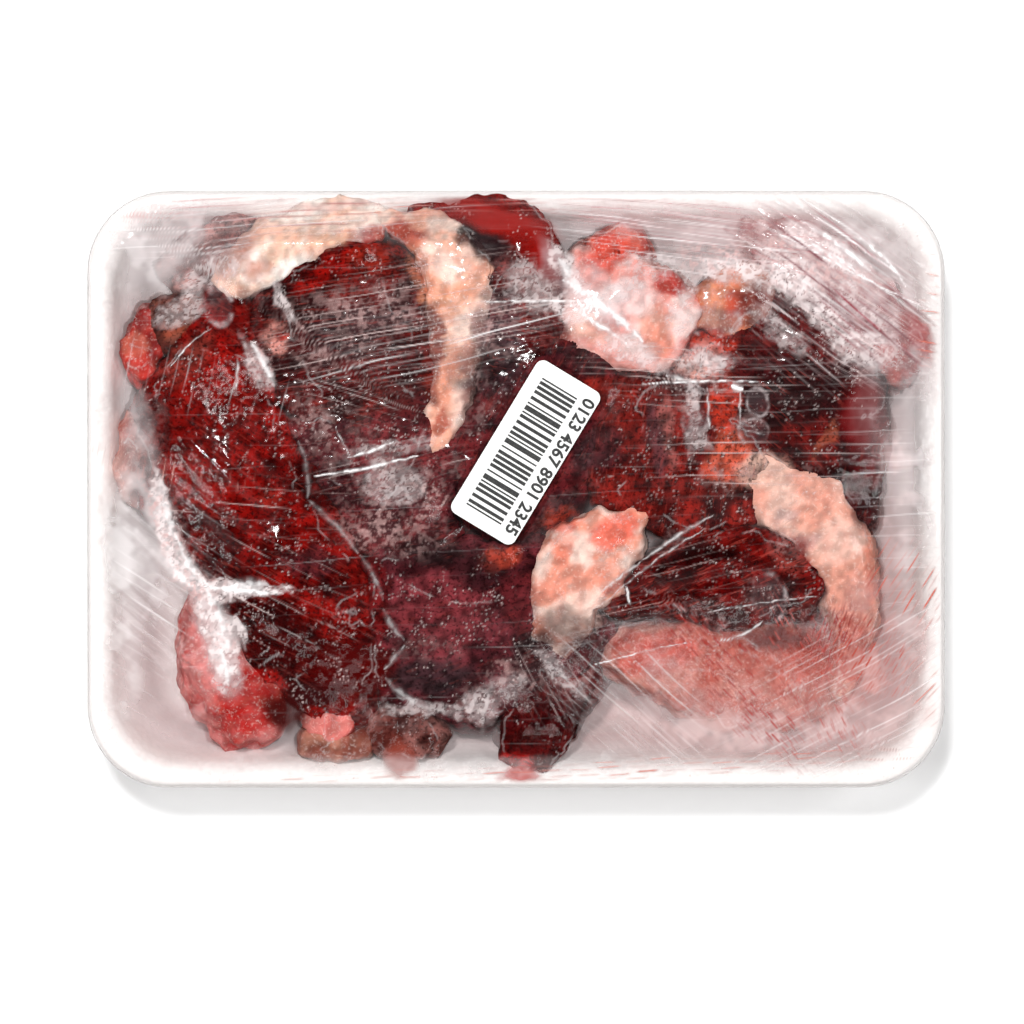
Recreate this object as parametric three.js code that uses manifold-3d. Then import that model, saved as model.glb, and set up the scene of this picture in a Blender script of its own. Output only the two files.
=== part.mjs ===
// A supermarket pack of raw beef trimmings: a white foam tray, the pieces of lean and fat that lie
// in it, the clear film stretched round it, and the label stuck on the film.
// Millimetres, +Z up. +X runs along the tray. The origin is on the surface that the pack rests on,
// below the middle of the tray.

import * as THREE from "three";
import { mergeVertices } from "three/addons/utils/BufferGeometryUtils.js";
import Module from "manifold-3d";

const wasm = await Module();
wasm.setup();

// Driving dimensions
const gap = 0.3; // clearance between pieces that touch
const filmThickness = 0.35; // stands for film of 0.012
const trayLength = 210;
const trayWidth = 146;
const trayHeight = 24;
const rimCorner = 20; // corner radius of the rim, seen from above
const cornerShrink = 0.5; // corner radius lost for each millimetre further in
const smallestCorner = 3;
const cutClearance = 1.1; // between a piece and the skin of one that lies on it
const smallestFeature = 0.32; // a cut piece's finer creases are smoothed away
const trayBase = filmThickness + gap; // the tray stands on the film under it
const rimTop = trayBase + trayHeight;

// The film's top is a grid of cells, whose border follows the rim
const cellsX = 18;
const cellsY = 12;
const borderCount = 2 * (cellsX + cellsY);
const cornerSteps = 4; // of a side's cells, those that bend round a corner of the outline
const filmSlope = 0.28; // how steeply the film falls away from what holds it up
const filmSag = 1.2; // dip of the free film between the meat and the rim
const filmEdgeInset = 1.2; // where the film turns over the rim
const filmHoleInset = 62; // the flaps under the tray leave a bare strip in the middle

// The tray's section, from the middle of the base, over the rim and down to the floor inside
const trayOutside = [
  { inset: 13, z: 0 },
  { inset: 11.4, z: 0.7 },
  { inset: 10.6, z: 2.4 },
  { inset: 3.4, z: 18.4 },
  { inset: 1.3, z: 20 },
  { inset: 0, z: 21.4 },
  { inset: 0, z: 22.8 },
  { inset: 0.8, z: 23.7 },
  { inset: 2.4, z: 24 },
];
const trayInside = [
  { inset: 4.4, z: 23.7 },
  { inset: 6, z: 22.3 },
  { inset: 13.2, z: 6.6 },
  { inset: 14.8, z: 4.5 },
  { inset: 17.6, z: 3.6 },
];

// The label's plan
const label = { x: 2.3, y: 8.8, length: 43, width: 17.8, corner: 2, turn: 58.8, thickness: 0.2 };

const colours = {
  foam: { color: 0xf4f1ef, roughness: 0.6 },
  film: { color: 0xf2f4f6, roughness: 0.1, transparent: true, opacity: 0.22 },
  paper: { color: 0xf7f7f5, roughness: 0.5 },
  leanRed: { color: 0x7a0d0b, roughness: 0.28 },
  leanDark: { color: 0x4c0b0b, roughness: 0.3 },
  leanBrown: { color: 0x6d2527, roughness: 0.42 },
  fat: { color: 0xf0b8a2, roughness: 0.35 },
  pink: { color: 0xd06a60, roughness: 0.3 },
};

// The pieces of meat, from the ones that lie on top to the ones that they press down.
// top is a piece's highest point and thick its thickness. A long or bent piece has a spine, which runs
// from tip to tip in plan: x, y and the piece's width there. The others have their middle, at, their
// length and width, and the way that their length turns.
const trimmings = [
  {
    name: "fat_ribbon", flesh: "fat", top: 35.5, thick: 15, detail: 2,
    spine: [[-35, 67, 6], [-22, 64, 13], [-14, 52, 16], [-13, 39, 13], [-16, 24, 9], [-20, 10, 7]],
  },
  {
    name: "fat_cap_left", flesh: "fat", top: 33.5, thick: 24, detail: 2,
    spine: [[-71, 49, 11], [-62, 55.5, 16], [-52, 60.5, 16], [-40, 65, 12], [-29, 68.5, 7]],
  },
  {
    name: "fat_nub_centre", flesh: "fat", top: 34.5, thick: 20, lobes: 0.14, detail: 2,
    spine: [[31, -6, 11], [21, -13.5, 20], [13.5, -25, 23], [13.5, -39, 17]],
  },
  {
    name: "fat_crescent_right", flesh: "fat", top: 33.5, thick: 34, detail: 3,
    spine: [[50.5, 7.5, 15], [63.5, 0, 21], [75, -10, 21], [81, -22, 15], [82, -34.5, 10.5], [79, -50.5, 9]],
  },
  {
    name: "lean_slab_left", flesh: "leanRed", top: 34.5, thick: 34, detail: 3,
    spine: [[-66, 51, 16], [-72, 29, 31], [-72, 9.5, 44], [-62, -10, 43], [-51, -30, 43], [-43, -58, 44]],
  },
  {
    name: "lean_lower_right", flesh: "leanDark", top: 33.5, thick: 32, detail: 3,
    spine: [[18.5, -29.5, 14], [34, -24.5, 20], [50, -21, 28], [63.5, -23.5, 30], [76.5, -32.5, 22]],
  },
  {
    name: "lean_top_arc", flesh: "leanRed", top: 32.5, thick: 20, detail: 2,
    spine: [[-32, 68.5, 5], [-16, 67.5, 9], [-2.5, 64, 13], [5, 55.5, 12], [8.5, 47, 8]],
  },
  {
    name: "fat_upper_right", flesh: "fat", at: [27, 42], top: 33.5, size: [36, 30], thick: 30,
    turn: -24, lobes: 0.12, detail: 3,
  },
  {
    name: "fat_spot_right", flesh: "fat", at: [53, 45.5], top: 33.5, size: [18, 15], thick: 14,
    turn: 10, detail: 1,
  },
  {
    name: "red_nub_top", flesh: "pink", at: [24, 57.5], top: 29.5, size: [18, 12], thick: 20,
    turn: 25, detail: 1,
  },
  {
    name: "membrane_top_right", flesh: "pink", top: 31.5, thick: 26, lobes: 0.12, detail: 2,
    spine: [[56, 65, 16], [71, 54, 24], [83, 43, 24], [94, 35, 16]],
  },
  {
    name: "lean_drop_right", flesh: "leanDark", top: 30.5, thick: 30, detail: 2,
    spine: [[80, 28, 14], [82.5, 15.5, 16], [82, 3, 15], [86.5, -12, 9]],
  },
  {
    name: "lean_right", flesh: "leanDark", at: [62, 25], top: 34.5, size: [56, 50], thick: 36,
    turn: -35, lobes: 0.12, detail: 3,
  },
  {
    name: "lean_folds_top", flesh: "leanRed", at: [1, 41], top: 32.5, size: [32, 38], thick: 32,
    turn: -10, detail: 1,
  },
  {
    name: "lean_under_ribbon", flesh: "leanDark", at: [-38, 36], top: 32.5, size: [56, 54], thick: 34,
    turn: -30, lobes: 0.12, detail: 2,
  },
  {
    name: "lean_under_label", flesh: "leanDark", at: [4, 9], top: 32.5, size: [64, 44], thick: 32,
    turn: 60, detail: 2,
  },
  {
    name: "lean_centre_right", flesh: "leanDark", at: [38, 9], top: 33.5, size: [58, 46], thick: 34,
    turn: -20, detail: 2,
  },
  {
    name: "lean_centre_left", flesh: "leanBrown", at: [-29, 4], top: 32.5, size: [58, 50], thick: 34,
    turn: -40, lobes: 0.12, detail: 2,
  },
  {
    name: "lobe_bottom", flesh: "leanDark", top: 29.5, thick: 25, lobes: 0.14, detail: 2,
    spine: [[17, -35, 20], [9, -49, 24], [3.5, -60, 20], [0.5, -70.5, 15]],
  },
  {
    name: "lean_centre_bottom", flesh: "leanBrown", at: [-9, -33], top: 31.5, size: [68, 50], thick: 34,
    turn: -12, lobes: 0.12, detail: 2,
  },
  {
    name: "lean_tip_right", flesh: "pink", top: 28.5, thick: 26, detail: 2,
    spine: [[101, 37.5, 14], [91.5, 33, 17], [80, 25, 14]],
  },
  {
    name: "pink_slab_bottom", flesh: "pink", top: 28.5, thick: 30, lobes: 0.12, detail: 3,
    spine: [[19, -38, 18], [40, -43, 24], [60, -45, 26], [83, -45, 22]],
  },
  {
    name: "pink_chunk_left", flesh: "pink", top: 28.5, thick: 30, lobes: 0.12, detail: 2,
    spine: [[-77.5, -21, 11], [-77, -39, 18], [-71, -52, 25], [-60, -62, 15]],
  },
  {
    name: "red_chunk_left", flesh: "pink", at: [-92, 30], top: 26.6, size: [18, 12], thick: 24,
    turn: 78, detail: 1,
  },
  {
    name: "brown_lump_left", flesh: "leanBrown", at: [-80, 41], top: 27.2, size: [18, 15], thick: 26,
    turn: 35, lobes: 0.15, detail: 1,
  },
  {
    name: "grey_lump_top_left", flesh: "leanBrown", at: [-70.5, 57], top: 27.8, size: [28, 17], thick: 24,
    turn: 30, lobes: 0.16, detail: 1,
  },
  {
    name: "pale_lump_left", flesh: "pink", at: [-92, 9], top: 26.2, size: [24, 12], thick: 22,
    turn: 84, lobes: 0.15, detail: 1,
  },
  {
    name: "brown_lump_bottom", flesh: "leanBrown", at: [-27, -58.5], top: 26.6, size: [22, 15], thick: 22,
    turn: -10, lobes: 0.16, detail: 1,
  },
  {
    name: "fat_knob_bottom", flesh: "pink", at: [-44.5, -56.5], top: 26.8, size: [13, 9], thick: 16,
    turn: 10, detail: 1,
  },
  {
    name: "fat_slice_bottom", flesh: "fat", at: [-43, -62], top: 25.6, size: [22, 8.5], thick: 14,
    turn: 5, detail: 1,
  },
];

// A random number between 0 and 1 that the seed repeats
function seededRandom(seed) {
  let state = seed >>> 0;
  return () => {
    state = (state + 0x6d2b79f5) >>> 0;
    let mixed = Math.imul(state ^ (state >>> 15), 1 | state);
    mixed = (mixed + Math.imul(mixed ^ (mixed >>> 7), 61 | mixed)) ^ mixed;
    return ((mixed ^ (mixed >>> 14)) >>> 0) / 4294967296;
  };
}

// A smooth uneven field over directions, between about -1 and 1
function unevenness(seed) {
  const random = seededRandom(seed);
  const across = () => new THREE.Vector3(random() - 0.5, random() - 0.5, random() - 0.5);
  const waves = Array.from({ length: 6 }, () => ({
    run: across().setLength(2 + 4 * random()),
    phase: 2 * Math.PI * random(),
  }));
  return (direction) =>
    waves.reduce((sum, wave) => sum + Math.sin(wave.run.dot(direction) + wave.phase), 0) / 3;
}

function solidOf(points, triangles) {
  const vertProperties = new Float32Array(points.flatMap((point) => point.toArray()));
  const triVerts = new Uint32Array(triangles);
  return new wasm.Manifold(new wasm.Mesh({ numProp: 3, vertProperties, triVerts }));
}

function geometryOf(solid) {
  const { vertProperties, triVerts } = solid.getMesh();
  return new THREE.BufferGeometry()
    .setAttribute("position", new THREE.BufferAttribute(vertProperties, 3))
    .setIndex(new THREE.BufferAttribute(triVerts, 1));
}

function meshOf(name, solid, material) {
  const geometry = geometryOf(solid).toNonIndexed();
  geometry.computeVertexNormals();
  const mesh = new THREE.Mesh(geometry, material);
  mesh.name = name;
  return mesh;
}

// The pack's plan outline at an inset from the rim, anticlockwise from the middle of a corner.
// Each side is split along its straight stretch into stepsX or stepsY parts.
function outlineAt(inset, stepsX, stepsY) {
  const radius = Math.max(smallestCorner, rimCorner - cornerShrink * inset);
  const x = trayLength / 2 - inset - radius;
  const y = trayWidth / 2 - inset - radius;
  const middles = [[-x, -y], [x, -y], [x, y], [-x, y]];
  const arcs = middles.map(([middleX, middleY], k) =>
    new THREE.EllipseCurve(
      middleX, middleY, radius, radius, (1 + k / 2) * Math.PI, (1.5 + k / 2) * Math.PI,
    ).getPoints(cornerSteps),
  );
  const places = arcs.flatMap((arc, k) => {
    const steps = k % 2 === 0 ? stepsX : stepsY;
    const straight = new THREE.LineCurve(arc[cornerSteps], arcs[(k + 1) % 4][0]).getPoints(steps);
    return [...arc, ...straight.slice(1, -1)];
  });
  const half = cornerSteps / 2;
  return [...places.slice(half), ...places.slice(0, half)];
}

const liftTo = (z) => (place) => new THREE.Vector3(place.x, place.y, z);

// The tray's outline needs no points along its straight stretches
const trayRing = ({ inset, z }) => outlineAt(inset, 1, 1).map(liftTo(z));

const filmOutline = (inset) => outlineAt(inset, cellsX - cornerSteps, cellsY - cornerSteps);
const filmRing = ({ inset, z }) => filmOutline(inset).map(liftTo(z));
const filmBorder = filmOutline(filmEdgeInset);

// The number of a grid corner along the border, anticlockwise, or -1 inside the grid
function borderNumber(i, j) {
  if (j === 0) return i;
  if (i === cellsX) return cellsX + j;
  if (j === cellsY) return 2 * cellsX + cellsY - i;
  if (i === 0) return borderCount - j;
  return -1;
}

// Where a grid corner lies in plan: each square of the grid becomes a smaller copy of the border
function gridPlace(i, j) {
  const u = (2 * i) / cellsX - 1;
  const v = (2 * j) / cellsY - 1;
  const size = Math.max(Math.abs(u), Math.abs(v));
  if (size === 0) return new THREE.Vector2(0, 0);
  const tidy = (number) => Math.round(number * 1e6) / 1e6; // so that a side's end is met exactly
  const number = borderNumber(tidy((cellsX * (u / size + 1)) / 2), tidy((cellsY * (v / size + 1)) / 2));
  const before = filmBorder[Math.floor(number) % borderCount];
  const after = filmBorder[(Math.floor(number) + 1) % borderCount];
  return before.clone().lerp(after, number % 1).multiplyScalar(size);
}

// A cap's triangles. A fan closes the ring flat, and a sheet closes it with the film's grid.
function fanCap(points, ring, faceUp) {
  const count = ring.length;
  const centre = points.push(new THREE.Vector3(0, 0, points[ring[0]].z)) - 1;
  return ring.flatMap((corner, k) => {
    const next = ring[(k + 1) % count];
    return faceUp ? [centre, corner, next] : [centre, next, corner];
  });
}

function sheetCap(heightAt) {
  return (points, ring, faceUp) => {
    const corners = new Map();
    const cornerAt = (i, j) => {
      const border = borderNumber(i, j);
      if (border >= 0) return ring[border];
      const key = i * (cellsY + 1) + j;
      if (!corners.has(key)) {
        const place = gridPlace(i, j);
        corners.set(key, points.push(new THREE.Vector3(place.x, place.y, heightAt(i, j))) - 1);
      }
      return corners.get(key);
    };
    const triangles = [];
    for (let i = 0; i < cellsX; i++) {
      for (let j = 0; j < cellsY; j++) {
        const [a, b] = [cornerAt(i, j), cornerAt(i + 1, j)];
        const [d, c] = [cornerAt(i, j + 1), cornerAt(i + 1, j + 1)];
        // the diagonal runs towards the middle, so that each corner cell bends across its arc
        const level = (2 * i + 1 < cellsX) === (2 * j + 1 < cellsY);
        const split = level ? [a, b, c, a, c, d] : [a, b, d, b, c, d];
        triangles.push(...(faceUp ? split : split.reverse()));
      }
    }
    return triangles;
  };
}

// A closed body through rings of one count, capped at both ends
function loft(rings, firstCap = fanCap, lastCap = fanCap) {
  const count = rings[0].length;
  const points = rings.flat();
  const triangles = [];
  for (let k = 0; k + 1 < rings.length; k++) {
    for (let n = 0; n < count; n++) {
      const a = k * count + n;
      const b = k * count + ((n + 1) % count);
      triangles.push(a, b, b + count, a, b + count, a + count);
    }
  }
  const numbers = (k) => Array.from({ length: count }, (_, n) => k * count + n);
  triangles.push(...firstCap(points, numbers(0), false));
  triangles.push(...lastCap(points, numbers(rings.length - 1), true));
  return solidOf(points, triangles);
}

// A lump's spine, a curve in plan whose third coordinate is the lump's width
function spineOf({ spine, at, size, turn }) {
  if (spine) return new THREE.CatmullRomCurve3(spine.map((point) => new THREE.Vector3(...point)));
  const angle = THREE.MathUtils.degToRad(turn);
  const reach = new THREE.Vector3(Math.cos(angle), Math.sin(angle), 0).multiplyScalar(size[0] / 2);
  const middle = new THREE.Vector3(at[0], at[1], size[1]);
  return new THREE.LineCurve3(middle.clone().sub(reach), middle.clone().add(reach));
}

// One lump of meat or fat: a rounded block with an uneven skin, which follows its spine
function lump(piece) {
  const { top, thick, lobes = 0.09, detail, seed } = piece;
  const roundness = 2.7; // 2 is an ellipsoid, and more is squarer
  const sphere = new THREE.IcosahedronGeometry(1, detail);
  sphere.deleteAttribute("normal");
  sphere.deleteAttribute("uv");
  const skin = mergeVertices(sphere);
  const uneven = unevenness(seed);
  const spine = spineOf(piece);
  const length = spine.getLength();
  const position = skin.getAttribute("position");
  for (let n = 0; n < position.count; n++) {
    const way = new THREE.Vector3().fromBufferAttribute(position, n);
    const norm = way.toArray().reduce((sum, part) => sum + Math.abs(part) ** roundness, 0);
    const reach = norm ** (-1 / roundness);
    const point = way.clone().multiplyScalar(reach * (1 + lobes * uneven(way)));
    const along = (point.x + 1) / 2;
    const share = THREE.MathUtils.clamp(along, 0, 1);
    const middle = spine.getPoint(share);
    const onward = spine.getTangent(share).setZ(0).normalize();
    const out = (point.y * middle.z) / 2;
    const past = (along - share) * length; // where an uneven tip reaches past the spine
    position.setXYZ(
      n,
      middle.x + onward.x * past - onward.y * out,
      middle.y + onward.y * past + onward.x * out,
      top + ((Math.min(point.z, 1) - 1) * thick) / 2,
    );
  }
  skin.computeVertexNormals();
  return skin;
}

// A lump's points, moved out along its normals by grow
function pointsOf(skin, grow = 0) {
  const [position, normal] = [skin.getAttribute("position"), skin.getAttribute("normal")];
  return Array.from({ length: position.count }, (_, n) =>
    new THREE.Vector3()
      .fromBufferAttribute(position, n)
      .addScaledVector(new THREE.Vector3().fromBufferAttribute(normal, n), grow),
  );
}

// The height that the film takes at each grid corner: level with the rim, held up by what it covers
function filmHeights(props) {
  const inLabel = (x, y) => {
    const turn = THREE.MathUtils.degToRad(label.turn);
    const along = Math.cos(turn) * (x - label.x) + Math.sin(turn) * (y - label.y);
    const across = Math.cos(turn) * (y - label.y) - Math.sin(turn) * (x - label.x);
    const margin = 12; // about a cell, so that every cell under the label is level
    return Math.abs(along) < label.length / 2 + margin && Math.abs(across) < label.width / 2 + margin;
  };
  const heights = Array.from({ length: cellsX + 1 }, (_, i) =>
    Array.from({ length: cellsY + 1 }, (_, j) => {
      const place = gridPlace(i, j);
      if (borderNumber(i, j) >= 0) return rimTop + gap;
      const u = (2 * i) / cellsX - 1;
      const v = (2 * j) / cellsY - 1;
      const free = rimTop + gap - filmSag * (1 - Math.max(u * u, v * v));
      const held = props.map(
        (prop) => prop.z + 2 * gap - filmSlope * Math.hypot(prop.x - place.x, prop.y - place.y),
      );
      return Math.max(free, ...held);
    }),
  );
  const covered = [];
  heights.forEach((row, i) =>
    row.forEach((_, j) => {
      const place = gridPlace(i, j);
      if (inLabel(place.x, place.y)) covered.push([i, j]);
    }),
  );
  const plateau = Math.max(...covered.map(([i, j]) => heights[i][j]));
  covered.forEach(([i, j]) => {
    heights[i][j] = plateau;
  });
  return { heights, plateau };
}

function makeTray() {
  const section = [...trayOutside, ...trayInside];
  return loft(section.map(({ inset, z }) => trayRing({ inset, z: trayBase + z })));
}

// Everything that the tray keeps the meat out of: the foam, and the space outside and under it
function makeTrayKeepOut() {
  const far = -12;
  const section = [
    { inset: far, z: far },
    { inset: far, z: rimTop + gap },
    { inset: 2.4, z: rimTop + gap },
    ...trayInside.map(({ inset, z }) => ({ inset: inset + gap, z: trayBase + z + gap })),
  ];
  return loft(section.map(trayRing));
}

// The film's inner side as it goes down the outside of the tray and in under it
function filmSideAt(grow) {
  return [
    { inset: filmEdgeInset, z: rimTop + gap + grow },
    { inset: -gap - grow, z: trayBase + 22.8 },
    { inset: -gap - grow, z: trayBase + 21.4 },
    { inset: 11.4 - gap - grow, z: trayBase - gap / 2 - grow },
    { inset: 14, z: trayBase - gap - grow },
  ];
}

function makeFilm(heights) {
  const hole = filmHoleInset;
  const inner = [...filmSideAt(0), { inset: hole, z: trayBase - gap }];
  const outer = [...filmSideAt(filmThickness), { inset: hole, z: 0 }].reverse();
  return loft(
    [...inner, ...outer].map(filmRing),
    sheetCap((i, j) => heights[i][j]),
    sheetCap((i, j) => heights[i][j] + filmThickness),
  );
}

// The space inside the film, a gap smaller all round
function makeRoom(heights) {
  const side = [...filmSideAt(-gap)].reverse();
  return loft(side.map(filmRing), fanCap, sheetCap((i, j) => heights[i][j] - gap));
}

function makeLabel(floor) {
  const [x, y, r] = [label.length / 2, label.width / 2, label.corner];
  const shape = new THREE.Shape();
  shape.absarc(x - r, y - r, r, 0, 0.5 * Math.PI);
  shape.absarc(r - x, y - r, r, 0.5 * Math.PI, Math.PI);
  shape.absarc(r - x, r - y, r, Math.PI, 1.5 * Math.PI);
  shape.absarc(x - r, r - y, r, 1.5 * Math.PI, 2 * Math.PI);
  const paper = { depth: label.thickness, bevelEnabled: false, curveSegments: 2 };
  const mesh = new THREE.Mesh(new THREE.ExtrudeGeometry(shape, paper), materials.paper);
  mesh.name = "label";
  mesh.position.set(label.x, label.y, floor);
  mesh.rotation.z = THREE.MathUtils.degToRad(label.turn);
  return mesh;
}

// Each piece keeps clear of the pieces above it, of the tray and of the film
function makeTrimmings(pieces, room, keepOut) {
  let taken = keepOut;
  return pieces.map((piece) => {
    const triangles = piece.skin.index.array;
    const cut = solidOf(pointsOf(piece.skin), triangles).intersect(room).subtract(taken);
    taken = taken.add(solidOf(pointsOf(piece.skin, cutClearance), triangles));
    const bodies = cut.simplify(smallestFeature).decompose();
    bodies.sort((a, b) => b.volume() - a.volume());
    return meshOf(piece.name, bodies[0], materials[piece.flesh]);
  });
}

const materials = Object.fromEntries(
  Object.entries(colours).map(([name, look]) => [
    name,
    new THREE.MeshStandardMaterial({ metalness: 0, ...look }),
  ]),
);
const pieces = trimmings.map((piece, n) => {
  const seeded = { ...piece, seed: 101 + 17 * n };
  return { ...seeded, skin: lump(seeded) };
});
const { heights, plateau } = filmHeights(pieces.flatMap((piece) => pointsOf(piece.skin)));

const pack = new THREE.Group();
pack.add(meshOf("foam_tray", makeTray(), materials.foam));
pack.add(...makeTrimmings(pieces, makeRoom(heights), makeTrayKeepOut()));
pack.add(meshOf("film_wrap", makeFilm(heights), materials.film));
pack.add(makeLabel(plateau + filmThickness + gap));

export default pack;
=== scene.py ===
import math

import bmesh
import bpy
import numpy as np
from mathutils import Matrix, Vector
from mathutils.bvhtree import BVHTree


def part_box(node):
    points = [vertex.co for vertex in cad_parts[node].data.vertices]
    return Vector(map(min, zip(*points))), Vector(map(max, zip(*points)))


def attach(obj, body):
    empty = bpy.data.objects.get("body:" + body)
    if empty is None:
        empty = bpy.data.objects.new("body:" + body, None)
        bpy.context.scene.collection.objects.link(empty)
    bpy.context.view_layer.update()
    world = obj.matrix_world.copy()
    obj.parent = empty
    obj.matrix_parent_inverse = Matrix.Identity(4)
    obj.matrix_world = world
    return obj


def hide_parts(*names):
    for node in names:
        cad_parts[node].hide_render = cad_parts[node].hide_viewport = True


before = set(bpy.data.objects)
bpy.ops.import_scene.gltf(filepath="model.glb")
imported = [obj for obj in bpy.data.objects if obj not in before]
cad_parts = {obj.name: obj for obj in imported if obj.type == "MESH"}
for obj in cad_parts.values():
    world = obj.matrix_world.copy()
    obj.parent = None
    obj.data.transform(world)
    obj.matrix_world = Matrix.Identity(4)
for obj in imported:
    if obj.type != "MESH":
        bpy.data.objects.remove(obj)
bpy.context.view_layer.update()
mm = 0.001
print("frame loaded")

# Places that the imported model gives
trayLow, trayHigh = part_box("foam_tray")
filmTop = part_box("film_wrap")[1].z
labelLow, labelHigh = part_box("label")
labelMiddle = (labelLow + labelHigh) / 2
rimTop = trayHigh.z


# Shader maths: a Term is one output of a node, and Python's operators join Terms into Math nodes
class Term:
    def __init__(self, shade, output):
        self.shade = shade
        self.output = output

    def join(self, operation, a, b):
        node = self.shade.node("ShaderNodeMath", {"operation": operation}, {0: a, 1: b})
        return Term(self.shade, node.outputs[0])

    def __add__(self, other):
        return self.join("ADD", self, other)

    def __sub__(self, other):
        return self.join("SUBTRACT", self, other)

    def __rsub__(self, other):
        return self.join("SUBTRACT", other, self)

    def __mul__(self, other):
        return self.join("MULTIPLY", self, other)

    __radd__ = __add__
    __rmul__ = __mul__

    def step(self, start, end):  # 0 before start, 1 past end, and smooth between, whichever is larger
        sockets = {"Value": self, "From Min": start, "From Max": end}
        node = self.shade.node("ShaderNodeMapRange", {"interpolation_type": "SMOOTHSTEP"}, sockets)
        return Term(self.shade, node.outputs[0])


class Shade:
    def __init__(self, name):
        self.material = bpy.data.materials.new(name)
        self.material.use_nodes = True
        self.tree = self.material.node_tree
        self.tree.nodes.clear()
        self.place = Term(self, self.node("ShaderNodeTexCoord").outputs["Object"])

    def node(self, kind, settings=None, sockets=None):
        node = self.tree.nodes.new(kind)
        for key, value in (settings or {}).items():
            setattr(node, key, value)
        for key, value in (sockets or {}).items():
            if isinstance(value, Term):
                self.tree.links.new(value.output, node.inputs[key])
            else:
                node.inputs[key].default_value = value
        return node

    def noise(self, size, at=None, detail=2.0, rough=0.5):  # size of the features in mm
        sockets = {"Vector": at or self.place, "Scale": 1 / (size * mm)}
        sockets.update({"Detail": detail, "Roughness": rough})
        return Term(self, self.node("ShaderNodeTexNoise", None, sockets).outputs[0])

    def cells(self, size):
        sockets = {"Vector": self.place, "Scale": 1 / (size * mm)}
        return Term(self, self.node("ShaderNodeTexVoronoi", None, sockets).outputs["Distance"])

    def blend(self, factor, a, b):  # colours
        node = self.node("ShaderNodeMix", {"data_type": "RGBA"}, {0: factor, 6: a, 7: b})
        return Term(self, node.outputs[2])

    def attribute(self, name, output="Fac"):
        node = self.node("ShaderNodeAttribute", {"attribute_name": name})
        return Term(self, node.outputs[output])

    def bump(self, height, distance, strength=1.0):  # distance in mm
        sockets = {"Height": height, "Distance": distance * mm, "Strength": strength}
        return Term(self, self.node("ShaderNodeBump", None, sockets).outputs[0])

    def surface(self, kind, sockets):
        return Term(self, self.node("ShaderNodeBsdf" + kind, None, sockets).outputs[0])

    def mixed(self, factor, a, b):  # surfaces
        return Term(self, self.node("ShaderNodeMixShader", None, {0: factor, 1: a, 2: b}).outputs[0])

    def finish(self, surface):
        self.node("ShaderNodeOutputMaterial", None, {"Surface": surface})
        return self.material

    def solid(self, colour, rough, normal, gloss=0.5):
        sockets = {"Base Color": colour, "Roughness": rough, "Normal": normal, "Specular IOR Level": gloss}
        return self.finish(self.surface("Principled", sockets))


def linear(text):
    parts = [int(text[n:n + 2], 16) / 255 for n in (0, 2, 4)]
    return np.array([p / 12.92 if p <= 0.04045 else ((p + 0.055) / 1.055) ** 2.4 for p in parts])


def hexColour(text):
    return (*linear(text), 1.0)


# Smooth random values at many points at once
lattice = np.random.default_rng(11).random((64, 64, 64))


def ease(values, start, end):
    share = np.clip((values - start) / (end - start), 0, 1)
    return share * share * (3 - 2 * share)


def cellRandom(*index):
    return lattice[tuple(part % 64 for part in index)]


def noiseAt(points, size, seed=0, octaves=1):  # size of the features in mm
    total = 0
    for octave in range(octaves):
        place = points / (size * mm) * 2 ** octave + 7.31 * seed + 3.7 * octave
        low = np.floor(place)
        x, y, z = ease(place - low, 0, 1).T
        low = low.astype(int)
        (i, j, k), (nextI, nextJ, nextK) = low.T % 64, (low.T + 1) % 64
        levels = []
        for deep in (k, nextK):
            near = lattice[i, j, deep] * (1 - x) + lattice[nextI, j, deep] * x
            far = lattice[i, nextJ, deep] * (1 - x) + lattice[nextI, nextJ, deep] * x
            levels.append(near * (1 - y) + far * y)
        total = total + (levels[0] * (1 - z) + levels[1] * z) * 0.5 ** octave
    return total / (2 - 0.5 ** (octaves - 1))


def cellsAt(points, size, seed):  # how far from the nearest of many scattered points, in plan, in mm
    x, y = (points[:, :2] / (size * mm)).T
    i, j = np.floor(x).astype(int), np.floor(y).astype(int)
    nearest = np.full(len(points), 9.0)
    for column in (-1, 0, 1):
        for row in (-1, 0, 1):
            off = i + column + cellRandom(i + column, j + row, seed) - x
            up = j + row + cellRandom(i + column, j + row, seed + 1) - y
            nearest = np.minimum(nearest, off * off + up * up)
    return np.sqrt(nearest) * size


def turned(points, x, y, turn):  # mm along and across a direction in plan, from a middle
    angle = math.radians(turn)
    atX, atY = points[:, 0] / mm - x, points[:, 1] / mm - y
    along = math.cos(angle) * atX + math.sin(angle) * atY
    return along, math.cos(angle) * atY - math.sin(angle) * atX


def patch(points, place, soft=0.5):  # 1 inside an ellipse in plan
    x, y, reachX, reachY, turn = place
    along, across = turned(points, x, y, turn)
    return ease(np.hypot(along / reachX, across / reachY), 1 + soft / 2, 1 - soft / 2)


def pushed(points, amount, size, seed):  # points pushed about, which makes what is drawn with them ragged
    push = np.stack([noiseAt(points, size, seed + n, 2) for n in range(3)], 1) - 0.5
    return points + 2 * amount * mm * push


def meshFrom(bm, name):
    mesh = bpy.data.meshes.new(name)
    bm.to_mesh(mesh)
    bm.free()
    return mesh


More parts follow.
